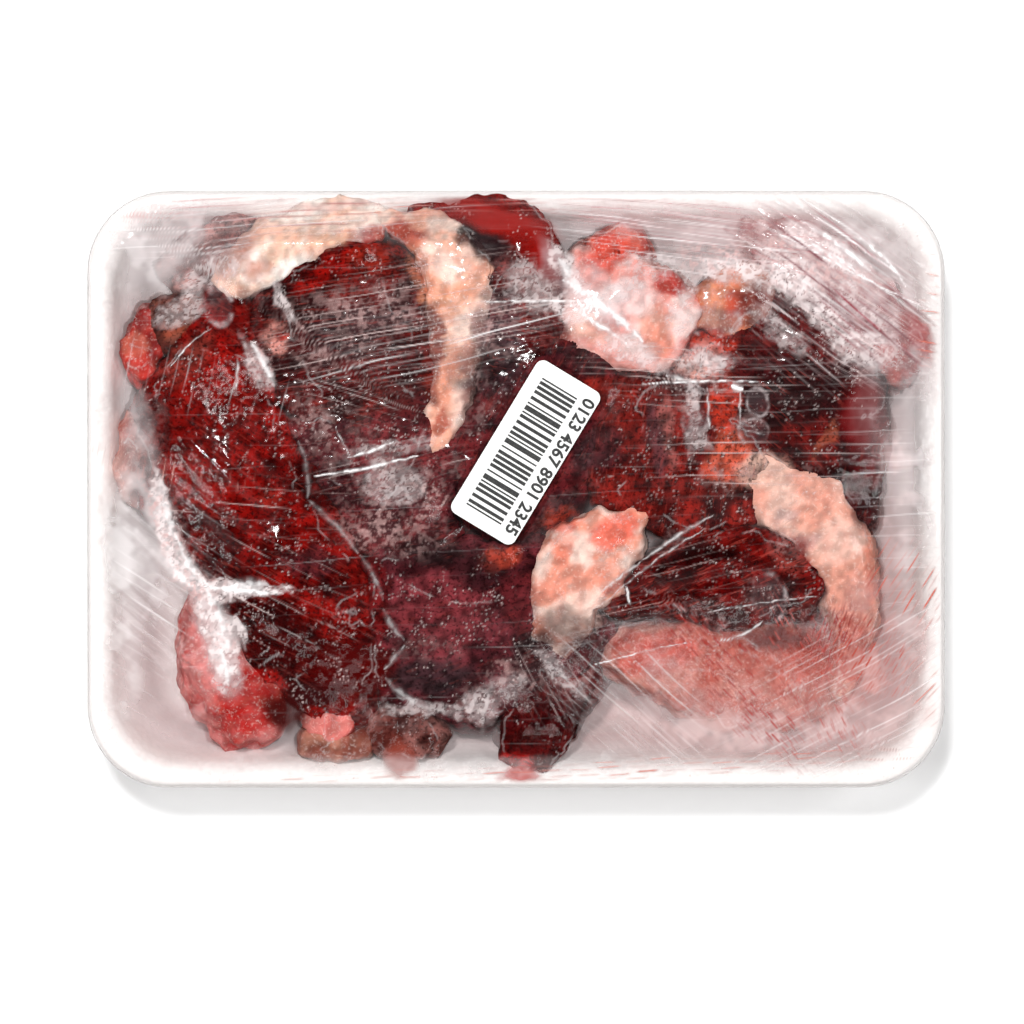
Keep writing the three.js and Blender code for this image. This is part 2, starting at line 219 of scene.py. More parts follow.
# Floor, light and camera
stage = {
    "floorColour": "fbfbfb", "floorSize": 4.0,
    "horizon": (0.35, 0.75), "zenith": (0.85, 0.05),  # height and strength of the room's light
    "cameraAim": (-1.0 * mm, -5.6 * mm), "cameraHeight": 700 * mm, "frameWidth": 251 * mm, "sensor": 36,
    "lamps": [
        {"at": (-0.12, 0.34, 1.0), "size": 0.12, "power": 6.2},
        {"at": (0.6, 0.1, 0.9), "size": 0.3, "power": 3.0},
        {"at": (-0.6, -0.1, 0.9), "size": 0.3, "power": 3.0},
        {"at": (0.1, -0.55, 0.95), "size": 0.3, "power": 1.2},
    ],
}


def setStage():
    scene = bpy.context.scene
    scene.view_settings.view_transform = "Standard"
    bm = bmesh.new()
    bmesh.ops.create_grid(bm, x_segments=1, y_segments=1, size=stage["floorSize"] / 2)
    mesh = meshFrom(bm, "floor")
    mesh.transform(Matrix.Translation((0, 0, -0.1 * mm)))
    floor = bpy.data.objects.new("floor", mesh)
    scene.collection.objects.link(floor)
    shade = Shade("pale_floor")
    paper = shade.surface("Principled", {"Base Color": hexColour(stage["floorColour"]), "Roughness": 0.8})
    mesh.materials.append(shade.finish(paper))

    world = bpy.data.worlds.new("room")
    scene.world = world
    world.use_nodes = True
    tree = world.node_tree
    places = tree.nodes.new("ShaderNodeTexCoord")
    parts = tree.nodes.new("ShaderNodeSeparateXYZ")
    tree.links.new(places.outputs["Generated"], parts.inputs[0])
    strength = tree.nodes.new("ShaderNodeMapRange")
    tree.links.new(parts.outputs["Z"], strength.inputs["Value"])
    for end, level in (("Min", stage["horizon"]), ("Max", stage["zenith"])):
        strength.inputs["From " + end].default_value, strength.inputs["To " + end].default_value = level
    tree.links.new(strength.outputs[0], tree.nodes["Background"].inputs["Strength"])
    tree.nodes["Background"].inputs["Color"].default_value = (1, 1, 1, 1)

    for number, lamp in enumerate(stage["lamps"]):
        light = bpy.data.lights.new(f"softbox_{number}", "AREA")
        light.size = lamp["size"]
        light.energy = lamp["power"]
        holder = bpy.data.objects.new(light.name, light)
        holder.location = lamp["at"]
        holder.rotation_euler = Vector(lamp["at"]).to_track_quat("Z", "Y").to_euler()
        scene.collection.objects.link(holder)

    camera = bpy.data.objects.new("camera", bpy.data.cameras.new("camera"))
    camera.location = (*stage["cameraAim"], trayHigh.z + stage["cameraHeight"])
    camera.data.sensor_width = stage["sensor"]
    camera.data.lens = stage["sensor"] * stage["cameraHeight"] / stage["frameWidth"]
    camera.data.clip_start = 0.01
    scene.collection.objects.link(camera)
    scene.camera = camera


setStage()
print("stage set")


def objectFrom(name, mesh, material, smooth=True):
    piece = bpy.data.objects.new(name, mesh)
    bpy.context.scene.collection.objects.link(piece)
    mesh.materials.clear()
    mesh.materials.append(material)
    mesh.polygons.foreach_set("use_smooth", [smooth] * len(mesh.polygons))
    return piece


def applied(piece):  # the piece's modifiers become its mesh
    bpy.context.view_layer.update()
    evaluated = piece.evaluated_get(bpy.context.evaluated_depsgraph_get())
    mesh = bpy.data.meshes.new_from_object(evaluated)
    piece.modifiers.clear()
    piece.data = mesh


def pointsOf(mesh):
    points = np.empty(len(mesh.vertices) * 3, np.float32)
    mesh.vertices.foreach_get("co", points)
    return points.reshape(-1, 3).astype(float)


def normalsOf(mesh):
    normals = np.empty(len(mesh.vertices) * 3, np.float32)
    mesh.vertex_normals.foreach_get("vector", normals)
    return normals.reshape(-1, 3).astype(float)


def setPoints(mesh, points):
    mesh.vertices.foreach_set("co", points.astype(np.float32).ravel())
    mesh.update()


def keep(mesh, name, kind, key, values):  # values at the mesh's vertices, for its material
    mesh.attributes.new(name, kind, "POINT").data.foreach_set(key, values.astype(np.float32).ravel())


def keepColour(mesh, name, colours):
    keep(mesh, name, "FLOAT_COLOR", "color", np.concatenate([colours, np.ones((len(colours), 1))], 1))


# The pack's outline in plan, with its corners less round further in
outline = {"corner": 20 * mm, "cornerShrink": 0.5, "smallestCorner": 3 * mm}


def outlineAt(inset, share):  # share runs from 0 to 1, anticlockwise from the middle of a corner
    radius = max(outline["smallestCorner"], outline["corner"] - outline["cornerShrink"] * inset)
    x = trayHigh.x - inset - radius
    y = trayHigh.y - inset - radius
    turns = np.linspace(0, math.pi / 2, 25)
    points = np.concatenate([
        np.stack([side * x + radius * np.cos(start * math.pi + turns),
                  end * y + radius * np.sin(start * math.pi + turns)], 1)
        for side, end, start in ((-1, -1, 1), (1, -1, 1.5), (1, 1, 0), (-1, 1, 0.5))
    ])
    points = np.roll(points, -12, axis=0)
    points = np.concatenate([points, points[:1]])
    run = np.concatenate([[0], np.cumsum(np.linalg.norm(np.diff(points, axis=0), axis=1))])
    at = np.asarray(share) % 1 * run[-1]
    return np.interp(at, run, points[:, 0]), np.interp(at, run, points[:, 1])


# The foam tray. Its section runs from the underside over the rim to the floor inside.
tray = {
    "outside": [(13.5, 0), (12.2, 0.2), (11.1, 1.4), (10.4, 3.0), (3.4, 18.6), (1.6, 20), (0.2, 21.2),
                (0, 22.2), (0.3, 23.2), (1.3, 23.9), (2.6, 24)],
    "inside": [(4.2, 23.8), (5.6, 22.8), (6.6, 21), (13.0, 7.2), (14.2, 5.2), (16.2, 4.0), (19, 3.6),
               (24, 3.6), (32, 3.6), (42, 3.6)],
    "around": 360, "rounding": 2,
    "colour": "f2edeb", "bead": "d8d2d0", "beadSize": 1.6,
    "juiceAndShade": [  # pink juice in pools and smears, and painted shade on the inner slopes: x, y, reach, turn, colour, strength
        (88, -8, 16, 60, 0, "bd8480", 0.6), (45, -62, 60, 12, 2, "cb8680", 0.7),
        (-10, 66, 92, 7, 2, "c9a3a3", 0.5), (-95, -5, 10, 58, 0, "c0a0a0", 0.6),
        (80, 58, 22, 12, -30, "d5a5a3", 0.4), (-60, -62, 34, 8, 0, "b48082", 0.6),
        (86, -46, 12, 18, 20, "b97470", 0.5),
    ],
}


def foamMaterial():
    shade = Shade("foam")
    bead = shade.cells(tray["beadSize"])
    paint = shade.attribute("paint", "Color")
    colour = shade.blend(bead.step(0.35, 0.62) * 0.12, paint, hexColour(tray["bead"]))
    normal = shade.bump(bead.step(0.3, 0.6) + shade.noise(0.5) * 0.3, 0.12, 0.25)
    return shade.solid(colour, 0.6 - shade.attribute("wet") * 0.3, normal)


def makeTray():
    bm = bmesh.new()
    around = tray["around"]
    share = bm.verts.layers.float.new("share")
    ring = bmesh.ops.create_circle(bm, segments=around, radius=1)["verts"]
    for number, vert in enumerate(ring):
        vert[share] = number / around

    def placeRing(verts, inset, height):
        x, y = outlineAt(inset * mm, [vert[share] for vert in verts])
        for n, vert in enumerate(verts):
            vert.co = (x[n], y[n], trayLow.z + height * mm)

    section = np.array(tray["outside"] + tray["inside"])
    for _ in range(tray["rounding"]):  # cut the section's corners
        near, far = section[:-1], section[1:]
        middle = np.stack([near * 0.75 + far * 0.25, near * 0.25 + far * 0.75], 1).reshape(-1, 2)
        section = np.concatenate([section[:1], middle, section[-1:]])
    placeRing(ring, *section[0])
    first = edges = list(bm.edges)
    for inset, height in section[1:]:
        made = bmesh.ops.extrude_edge_only(bm, edges=edges)["geom"]
        edges = [item for item in made if isinstance(item, bmesh.types.BMEdge) and len(item.link_faces) < 2]
        placeRing([item for item in made if isinstance(item, bmesh.types.BMVert)], inset, height)
    for loop in (first, edges):
        middle = bmesh.ops.create_vert(bm, co=(0, 0, loop[0].verts[0].co.z))["vert"][0]
        for edge in loop:
            bm.faces.new((*edge.verts, middle))
    bmesh.ops.recalc_face_normals(bm, faces=bm.faces)
    mesh = meshFrom(bm, "tray_foam")
    mesh.attributes.remove(mesh.attributes["share"])
    piece = objectFrom("tray_foam", mesh, foamMaterial())
    points = pointsOf(piece.data)
    ragged = pushed(points, 5, 14, 5)
    # Painted shade as well as juice: the stains fade in from just below the rim, so the deep inside is
    # darker
    depth = ease(points[:, 2], rimTop - 1.5 * mm, rimTop - 14 * mm)
    inside = depth * (points[:, 2] > trayLow.z + 3 * mm) * (normalsOf(piece.data)[:, 2] > 0.1)
    colours = np.tile(linear(tray["colour"]), (len(points), 1))
    wet = np.zeros(len(points))
    for *place, stain, strength in tray["juiceAndShade"]:
        share = patch(ragged, place, 0.9) * inside * strength
        share = share * (0.6 + 0.8 * noiseAt(points, 6, 9, 3))
        colours += share[:, None] * (linear(stain) - colours)
        wet = np.maximum(wet, share)
    keepColour(piece.data, "paint", colours)
    keep(piece.data, "wet", "FLOAT", "value", wet)
    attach(piece, "root")
    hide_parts("foam_tray")
    return piece


trayFoam = makeTray()
print("tray made")


# What each piece of meat looks like: colours from deep to pale, in patches of the size mottle, and for
# lean the direction of its fibres and how much they show
def fat(deep, pale, mottle, **more):
    return {"kind": "fat", "deep": deep, "pale": pale, "mottle": mottle, **more}


def lean(deep, pale, mottle, grain, fibre, **more):
    return {**fat(deep, pale, mottle), "kind": "lean", "grain": grain, "fibre": fibre, **more}


# shift in mm in plan, grow in mm, relief as a share of the usual, and round in rounds of smoothing
pieces = {
    "fat_ribbon": fat("f0b39a", "fbdfd1", 6),
    "fat_cap_left": fat("f8ccb6", "fff6ee", 8, relief=0.6),
    "fat_nub_centre": fat("ec9f88", "fadccf", 4.5),
    "fat_crescent_right": fat("e6a692", "f4c8b8", 9, relief=0.3),
    "lean_slab_left": lean("4c0404", "90100c", 7, -30, 0.2),
    "lean_lower_right": lean("340405", "780d09", 7, 24, 0.45),
    "lean_top_arc": lean("760b08", "9c130d", 10, -30, 0.1),
    "fat_upper_right": fat("ef9f94", "fadcd6", 6),
    "fat_spot_right": fat("d97a55", "f0a582", 5),
    "red_nub_top": fat("b83226", "e26a56", 5),
    "membrane_top_right": fat("9c3c40", "f0d2d0", 4),
    "lean_drop_right": lean("330a0c", "6c1213", 7, 80, 0.2),
    "lean_right": lean("2c0608", "721512", 6, -40, 0.25),
    "lean_folds_top": lean("3c0c0e", "7c1b18", 5, -5, 0.3),
    "lean_under_ribbon": lean("33090b", "66100f", 8, 8, 0.3),
    "lean_under_label": lean("38141a", "6c2024", 7, 60, 0.2),
    "lean_centre_right": lean("400708", "92211a", 6, 80, 0.25),
    "lean_centre_left": lean("42141a", "7c2c30", 6, 12, 0.2),
    "lobe_bottom": lean("440a0d", "6f1312", 7, 80, 0.1, round=30, relief=1.4),
    "lean_centre_bottom": lean("4a1a20", "7c323a", 5, 20, 0.1, dull=0.2),
    "lean_tip_right": fat("8f201c", "c8605a", 5),
    "pink_slab_bottom": fat("c05c4e", "dc9486", 5),
    "pink_chunk_left": fat("bc302c", "e88e8a", 5, shift=(3.5, 1.0)),
    "red_chunk_left": fat("8c0c08", "c43029", 6, shift=(1.5, 5.5)),
    "brown_lump_left": lean("5a2a24", "9a5c4c", 5, 40, 0.1),
    "grey_lump_top_left": lean("78403c", "c08c86", 4, 30, 0.1),
    "pale_lump_left": fat("b8685e", "dba79e", 5),
    "brown_lump_bottom": lean("5e302c", "94605a", 4, 0, 0.1),
    "fat_knob_bottom": fat("cc3c34", "e4867e", 5, shift=(-1, 1.5), grow=2.2),
    "fat_slice_bottom": fat("8e4c3e", "b87a66", 5, relief=0.5),
}
# Stains over the heap: x, y, reach along and across, turn, colour and strength
stains = [
    # the fat cap and ribbon, upper left, and the lean between them
    (-76, 58, 8, 4, 25, "6e3f3c", 0.6), (-48, 69, 18, 1.6, 8, "f6dcd4", 0.8),
    (-59, 56, 7, 2.6, 40, "f3b691", 0.6), (-45.5, 60.5, 7, 2, 20, "f5bfa0", 0.6),
    (-41, 65, 8, 2, 15, "fbe3d6", 0.8), (-44, 54, 12, 2.2, 35, "a3120c", 0.9),
    (-31, 61, 9, 4, 5, "a8231a", 0.8), (-30, 63, 5, 3, 0, "b9452f", 0.7),
    (-23.5, 54, 2.6, 7, 10, "d98468", 0.75), (-20, 48, 4, 4, 0, "f1a27d", 0.7),
    (-15, 45.5, 5, 3, 0, "f3b08f", 0.6), (-17, 27, 2, 7, -12, "dd9478", 0.7),
    (-19, 16, 1.6, 4.5, -12, "b5553f", 0.85), (-20.5, 37, 2.6, 9, -5, "6a1a14", 0.9),
    (-20, 26, 1.7, 6, -5, "7a241a", 0.8), (-8.6, 36, 1.6, 8, 0, "6e3430", 0.7),
    (-10, 24, 1.8, 6, -10, "5c2420", 0.7), (-43, 26, 11, 4, 5, "5a090b", 0.85),
    (-52.5, 35, 8, 3, -20, "4c0b0d", 0.8), (-33, 30, 10, 3.5, 0, "6a0f10", 0.7),
    (-31, 22, 8, 4, -25, "8a2c27", 0.6), (-41, 39, 10, 5.5, 5, "26131a", 0.75),
    (-58.5, 37, 3.2, 3.6, 10, "e59c90", 0.9), (-57, 37.5, 1.6, 1.4, 0, "b3261c", 0.9),
    (-36, 50, 10, 6, 20, "7c1610", 0.7), (-35.8, 56, 5, 4, 0, "8e2418", 0.7),
    (-62.5, 53, 4, 3, 20, "9c4a3a", 0.5), (-72, 57, 9, 5, 20, "8c4038", 0.6),
    # the red arc and the folds below it
    (-4, 66, 14, 3, -18, "9c130c", 0.85), (7, 56, 3.4, 8, 20, "98120d", 0.85),
    (-11, 62, 3.6, 3, -30, "1f1013", 0.9), (-6, 58, 7, 3.6, -35, "39191c", 0.8),
    (-2.5, 55, 3.6, 2, -35, "a85a58", 0.6), (3.5, 49, 7, 4, -5, "6e1412", 0.8),
    (-4, 46, 4, 3, 0, "3c2c30", 0.6), (6, 38, 6.5, 4.5, 0, "5c0a0a", 0.9),
    (-4, 38, 5, 7, 0, "4c3a42", 0.7), (-7, 29, 8, 7, 0, "38262b", 0.8),
    # the pink and white fat
    (38, 50, 5, 2.8, -10, "bf2a20", 0.9), (34, 39, 3.6, 7, 10, "ee9a7c", 0.65),
    (18, 38, 6, 2.6, 0, "f3b59d", 0.6), (26, 46, 8, 5, 0, "f9e0dd", 0.7),
    (23, 57.5, 7, 4, 10, "da4833", 0.85), (14.5, 61, 3, 2.6, 0, "7a3a38", 0.6),
    (19, 52, 6, 2.6, 0, "e8a298", 0.6),
    # the right side
    (54.5, 51, 6.5, 4, -10, "ea8e66", 0.9), (56, 45, 6, 2.6, 0, "b8321f", 0.8),
    (46.5, 35.5, 7, 3.6, 0, "c23420", 0.9), (45, 30.5, 7, 4, 0, "b32c1b", 0.85),
    (50, 41, 6, 3.4, 0, "7c6a70", 0.5), (64.5, 43, 11, 8, -35, "5c0d0e", 0.85),
    (67, 25, 12, 9, 0, "290e11", 0.85), (55, 17, 4, 3.6, 0, "3c0c0e", 0.8),
    (58, 31, 7, 5, 0, "561214", 0.7), (76, 36, 7, 6, -30, "6d1414", 0.8),
    (81, 43, 12, 2.2, -42, "7c2b3a", 0.85), (76, 50, 10, 1.6, -38, "8c2f3a", 0.7),
    (87, 45, 9, 1.5, -38, "9c2b30", 0.7), (84, 34, 6, 3, -40, "a8403f", 0.6),
    (98, 37.5, 3, 6, 20, "a5150f", 0.95), (86, 19, 1.6, 7, 5, "a3101a", 0.9),
    (80, 17, 4, 8, 0, "3a0c0f", 0.8), (75, 12, 1.3, 5, -30, "a4543d", 0.6),
    (84, -4, 3, 6, 10, "4a1012", 0.7), (43, 30, 5, 3, 0, "f0b4a4", 0.8),
    (45, 31, 4.5, 5, 0, "e4a49a", 0.5),
    # the middle, right of the label
    (50, 20.5, 4.4, 6.5, -5, "d23c26", 0.9), (51.5, 8, 5.5, 7, 0, "e2684e", 0.85),
    (30.5, 17, 11, 8, 0, "86241e", 0.6), (37, 14, 1.6, 9, 5, "c07a74", 0.5),
    (34, 12, 2, 9, 5, "6a4a50", 0.6), (45, 12, 4, 6, 0, "5c0e0e", 0.8),
    (20.5, 9.5, 6, 5, 0, "5b2a30", 0.6), (21, 24, 7, 3, -15, "a2281d", 0.7),
    (44, -1, 8, 3, 10, "7c2a26", 0.5),
    # the fat nub
    (23, -10, 6.5, 4, 35, "ea5a40", 0.7), (10.5, -8, 5, 2.6, 10, "d64b33", 0.7),
    (-4, -16.5, 5, 3, 20, "c54a36", 0.85), (12, -14, 2.4, 4, 0, "e0765c", 0.5),
    (20, -27, 4, 1.2, 40, "c44a38", 0.6), (11, -30, 1.2, 5, 0, "cf6a52", 0.5),
    # lean, lower right
    (40, -25, 15, 6, 20, "440405", 0.8), (52, -21, 10, 4, 15, "7c0a08", 0.6),
    (33, -18.5, 14, 2, 33, "7e1713", 0.7), (67, -17.5, 5, 3.6, 0, "9c1a14", 0.85),
    (65, -27, 6, 6, 0, "380b0c", 0.8), (70.5, -35, 4, 2.6, 30, "5a0c09", 0.9),
    (72, -24, 4, 4, 0, "7c120f", 0.8),
    # the crescent of fat
    (66, -6.5, 2.6, 1.6, 10, "b89a97", 0.6), (60, 4.7, 6.5, 4.5, 0, "f7cdbb", 0.7),
    (82, -40, 5, 9, 10, "d0452c", 0.9), (86, -20, 1.6, 10, 0, "e08a72", 0.6),
    (78, -12, 6, 6, 0, "f8d4c6", 0.6), (71, -13, 2.4, 2, 0, "c8a09c", 0.6),
    (66, -16, 5, 4.5, -10, "8e3a34", 0.85), (80, -36, 5, 6, 0, "e8a894", 0.5),
    # the slab
    (-80, 31.5, 4, 8, -40, "a0463c", 0.55), (-74, 17, 12, 15, 0, "961510", 0.5),
    (-59, -3.5, 3.2, 2, 0, "b03428", 0.7), (-55.5, -39.5, 16, 9, -35, "340607", 0.8),
    (-36, -25, 5, 12, 12, "84100c", 0.6), (-50.5, -17.5, 7.5, 3, 0, "5a2a30", 0.7),
    (-66, 40, 5, 8, 0, "6a100d", 0.6), (-92, 8, 3.6, 6, 20, "8a4a40", 0.7),
    (-88, 0, 4, 5, 0, "6b2620", 0.6), (-40.5, -44.5, 12, 9, 0, "5a0606", 0.9),
    (-62, -5, 14, 9, -30, "8a0e0a", 0.5),
    # purple lean at the bottom and the red lobe
    (-18.5, -29.5, 12, 10, 0, "8e3a40", 0.7), (-21, -15, 7.5, 3.4, -10, "241316", 0.9),
    (-9, -20, 7.5, 4, -20, "2c1418", 0.8), (-21, -45.5, 10, 4.6, 0, "3a2a2e", 0.85),
    (4, -42, 6, 8, 0, "2a1114", 0.85), (14, -31, 7, 6, 0, "f6d6c8", 0.7),
    (1, -27, 5, 7.5, 0, "6e2024", 0.6), (16, -39, 5, 4, 0, "4a0c10", 0.8),
    (4, -62, 8, 6, 0, "560a0a", 0.9), (-1, -68, 5.5, 3.2, 0, "c0140e", 0.9),
    (10.5, -56.5, 6.5, 5, 0, "4a0a0c", 0.8),
    # pink pieces along the bottom and the left
    (35, -41, 10, 3.6, 10, "d8584c", 0.7), (30, -37, 7, 2.4, 5, "c04840", 0.6),
    (70, -42, 8, 6, 20, "d8452c", 0.7), (60, -37.5, 14, 3, 5, "d87a6c", 0.6),
    (62, -42, 14, 4, 5, "b9554c", 0.5), (-66.5, -54, 8.5, 6.5, 0, "ba140e", 0.85),
    (-67.5, -46.5, 5, 2.4, 20, "c00c08", 0.95), (-60, -49, 4, 5, 30, "a81410", 0.8),
    (-76, -37, 4.6, 9, 0, "dc8f8c", 0.6), (-92.5, 30, 4, 4.5, 0, "dc3a30", 0.9),
    (-93, 35, 4, 2.4, 0, "d6705c", 0.7), (-83.5, 39.5, 2.6, 2.2, 0, "a8523c", 0.9),
]
flesh = {
    "voxel": 0.7, "grow": 1.2,  # mm
    "warps": [(2.4, 13), (1.3, 5), (0.7, 2.2)],  # pushes on the whole heap: how far, and their size
    "lean": {"relief": [(1.2, 9), (0.5, 3)], "grainLength": 7, "gloss": 0.0, "tone": 0.66, "speckle": 0.8,
             "light": "b3463c", "dark": "120102"},
    "fat": {"relief": [(1.2, 8), (0.8, 3.2)], "grainLength": 1, "gloss": 0.12, "tone": 0.76, "speckle": 0.35,
            "light": "fff0e6", "dark": "c96a58"},
    "pressFrom": 2.0, "pressTo": 7.0, "pressed": 0.88,  # meat this near below the film is drawn up to it
}
film = {
    "cells": (704, 480), "edgeInset": 1.0 * mm, "edgeRise": 0.25 * mm, "clearance": 0.1 * mm,
    "press": 0.006, "levels": (16, 8, 4, 2, 1), "rounds": 160,
    "dimple": 0.22 * mm, "dimpleSize": 1.8,
    "bend": 1.24, "rough": 0.11, "milkRough": 0.6,  # how it bends light, and how rough its skin and haze are
    "paintedGlints": [(1.7, 0.45), (1.1, 0.3)],  # painted glints, small bright dots of bubbles and wet film: size in mm and strength
}


def topOf(parts, x, y):  # the height of the parts' upper side at places in plan
    points, faces, count = [], [], 0
    for part in parts:
        points.append(pointsOf(part.data))
        faces += [[count + n for n in face.vertices] for face in part.data.polygons]
        count += len(part.data.vertices)
    tree = BVHTree.FromPolygons(np.concatenate(points).tolist(), faces)
    sky = filmTop + 20 * mm
    down = Vector((0, 0, -1))
    heights = np.zeros(x.size)
    for n, place in enumerate(zip(x.ravel().tolist(), y.ravel().tolist())):
        hit = tree.ray_cast(Vector((*place, sky)), down)[0]
        heights[n] = hit.z if hit else 0
    return heights.reshape(x.shape)


def drape(under, cell):  # heights of a sheet stretched over under and held along its border
    height = None
    rim = rimTop + film["edgeRise"]
    for level in film["levels"]:
        base = under[::level, ::level]
        if height is None:
            height = np.maximum(base, rim)
        else:
            for side in (1, 0):  # the coarser sheet is spread over the finer one
                old = np.linspace(0, 1, height.shape[1])
                new = np.linspace(0, 1, base.shape[side])
                height = np.array([np.interp(new, old, row) for row in height]).T
        sag = film["press"] * (level * cell / mm) ** 2 / 4 * mm
        for _ in range(film["rounds"]):
            height[0], height[-1], height[:, 0], height[:, -1] = rim, rim, rim, rim
            mean = (height[2:, 1:-1] + height[:-2, 1:-1] + height[1:-1, 2:] + height[1:-1, :-2]) / 4
            height[1:-1, 1:-1] = np.maximum(mean - sag, base[1:-1, 1:-1])
    return height


label = {"length": 43 * mm, "width": 17.8 * mm, "corner": 2 * mm, "turn": 58.8, "thickness": 0.12 * mm}


def underLabel(x, y, margin):
    turn = math.radians(label["turn"])
    along = math.cos(turn) * (x - labelMiddle.x) + math.sin(turn) * (y - labelMiddle.y)
    across = math.cos(turn) * (y - labelMiddle.y) - math.sin(turn) * (x - labelMiddle.x)
    return (abs(along) < label["length"] / 2 + margin) & (abs(across) < label["width"] / 2 + margin)


# The plain heap's own height and that of a film over it, on an even grid, to press the meat against
def roughHeap():
    x, y = np.meshgrid(np.arange(-104, 105) * mm, np.arange(-72, 73) * mm)
    top = topOf([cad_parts[node] for node in pieces], x, y)
    lid = drape(np.maximum(top, np.where(underLabel(x, y, 0), labelLow.z - 0.3 * mm, 0)), mm)
    return top, lid


def sampled(grid, points):
    at = np.stack([np.clip(points[:, 1] / mm + 72, 0, 143.99), np.clip(points[:, 0] / mm + 104, 0, 207.99)])
    low = at.astype(int)
    (j, i), (v, u) = low, at - low
    first = grid[j, i] * (1 - u) + grid[j, i + 1] * u
    return first * (1 - v) + (grid[j + 1, i] * (1 - u) + grid[j + 1, i + 1] * u) * v


def fleshMaterial(kind):
    shade = Shade(kind)
    light, dark = hexColour(flesh[kind]["light"]), hexColour(flesh[kind]["dark"])
    colour = shade.attribute("paint", "Color")
    fine = shade.noise(0.8, detail=3)
    if kind == "fat":
        lobes = shade.cells(2.6)
        colour = shade.blend(lobes.step(0.45, 0.8) * 0.14, colour, dark)
        colour = shade.blend(fine.step(0.52, 0.75) * 0.25, colour, light)
        height = fine * 0.5 - lobes
    else:
        fibres = shade.noise(0.9, shade.attribute("grain", "Vector"), detail=2, rough=0.6)
        strength = shade.attribute("fibre")
        colour = shade.blend(fibres.step(0.54, 0.72) * strength, colour, light)
        gaps = fibres.step(0.5, 0.25) * strength + fine.step(0.5, 0.34) * 0.6
        colour = shade.blend(gaps, colour, dark)
        height = fibres * 0.6 + fine
    rough = 0.4 + fine * 0.2 + shade.attribute("dull")
    return shade.solid(colour, rough, shade.bump(height, 0.3, 0.5), flesh[kind]["gloss"])


def shaped(points, normals, look, seed):
    form = flesh[look["kind"]]
    points = points + np.array([*look.get("shift", (0, 0)), 0]) * mm
    onTop = ease(sampled(heapTop, points) - points[:, 2], 3 * mm, 1 * mm) * ease(normals[:, 2], 0.1, 0.6)
    points = points + normals * look.get("grow", flesh["grow"]) * mm
    for amount, size in form["relief"]:
        height = (noiseAt(points, size, seed, 2) - 0.5) * 2 * amount * look.get("relief", 1) * mm
        points = points + normals * height[:, None]
    flat = points * [1, 1, 0.3]
    for amount, size in flesh["warps"]:
        points = points + (pushed(flat, amount, size, 3) - flat) * [1, 1, 0]
    lid = sampled(heapLid, points) - 0.15 * mm
    below = np.clip(lid - points[:, 2], 0, None)
    drawn = flesh["pressed"] * ease(below / mm, flesh["pressTo"], flesh["pressFrom"]) * onTop
    points[:, 2] += below * drawn
    points[:, 2] = np.minimum(points[:, 2], lid)
    return points


def painted(points, look, seed):
    mottle = ease(noiseAt(points, look["mottle"], seed, 5), 0.38, 0.62)[:, None]
    colours = linear(look["deep"]) * (1 - mottle) + linear(look["pale"]) * mottle
    ragged = pushed(pushed(points, 2.0, 5, 30), 1.1, 1.8, 40)
    low, high = ragged.min(axis=0) / mm, ragged.max(axis=0) / mm  # stains past these are passed over
    for *place, stain, strength in stains:
        x, y, *reaches = place[:4]
        reach = 1.3 * max(reaches)
        if low[0] < x + reach and high[0] > x - reach and low[1] < y + reach and high[1] > y - reach:
            share = patch(ragged, place) * strength
            colours += share[:, None] * (linear(stain) - colours)
    form = flesh[look["kind"]]
    speckle = ease(noiseAt(points, 1.6, 90, 2), 0.25, 0.75)[:, None] - 0.5
    return colours * (1 + 1.3 * speckle * form["speckle"]) * form["tone"]


def makeFlesh(node, look, seed):
    bm = bmesh.new()
    bm.from_mesh(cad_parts[node].data)
    bmesh.ops.remove_doubles(bm, verts=bm.verts, dist=0.005 * mm)
    piece = objectFrom("raw_" + node, meshFrom(bm, "raw_" + node), fleshMaterials[look["kind"]])
    remesh = piece.modifiers.new("remesh", "REMESH")
    remesh.mode = "VOXEL"
    remesh.voxel_size = flesh["voxel"] * mm
    remesh.use_smooth_shade = True
    smooth = piece.modifiers.new("smooth", "SMOOTH")
    smooth.factor = 0.6
    smooth.iterations = look.get("round", 6)
    applied(piece)
    mesh = piece.data
    points = shaped(pointsOf(mesh), normalsOf(mesh), look, seed)
    setPoints(mesh, points)
    keepColour(mesh, "paint", painted(points, look, seed))
    along, across = turned(points, 0, 0, look.get("grain", 0))
    stretch = flesh[look["kind"]]["grainLength"]
    grain = np.stack([along / stretch * mm, across * mm, points[:, 2]], 1)
    keep(mesh, "grain", "FLOAT_VECTOR", "vector", grain)
    for name in ("fibre", "dull"):
        keep(mesh, name, "FLOAT", "value", np.full(len(points), look.get(name, 0)))
    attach(piece, "root")
    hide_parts(node)
    return piece


heapTop, heapLid = roughHeap()
print("heap measured")
fleshMaterials = {kind: fleshMaterial(kind) for kind in ("lean", "fat")}
meat = [makeFlesh(node, look, seed) for seed, (node, look) in enumerate(pieces.items())]
print("meat made,", sum(len(piece.data.polygons) for piece in meat), "faces")


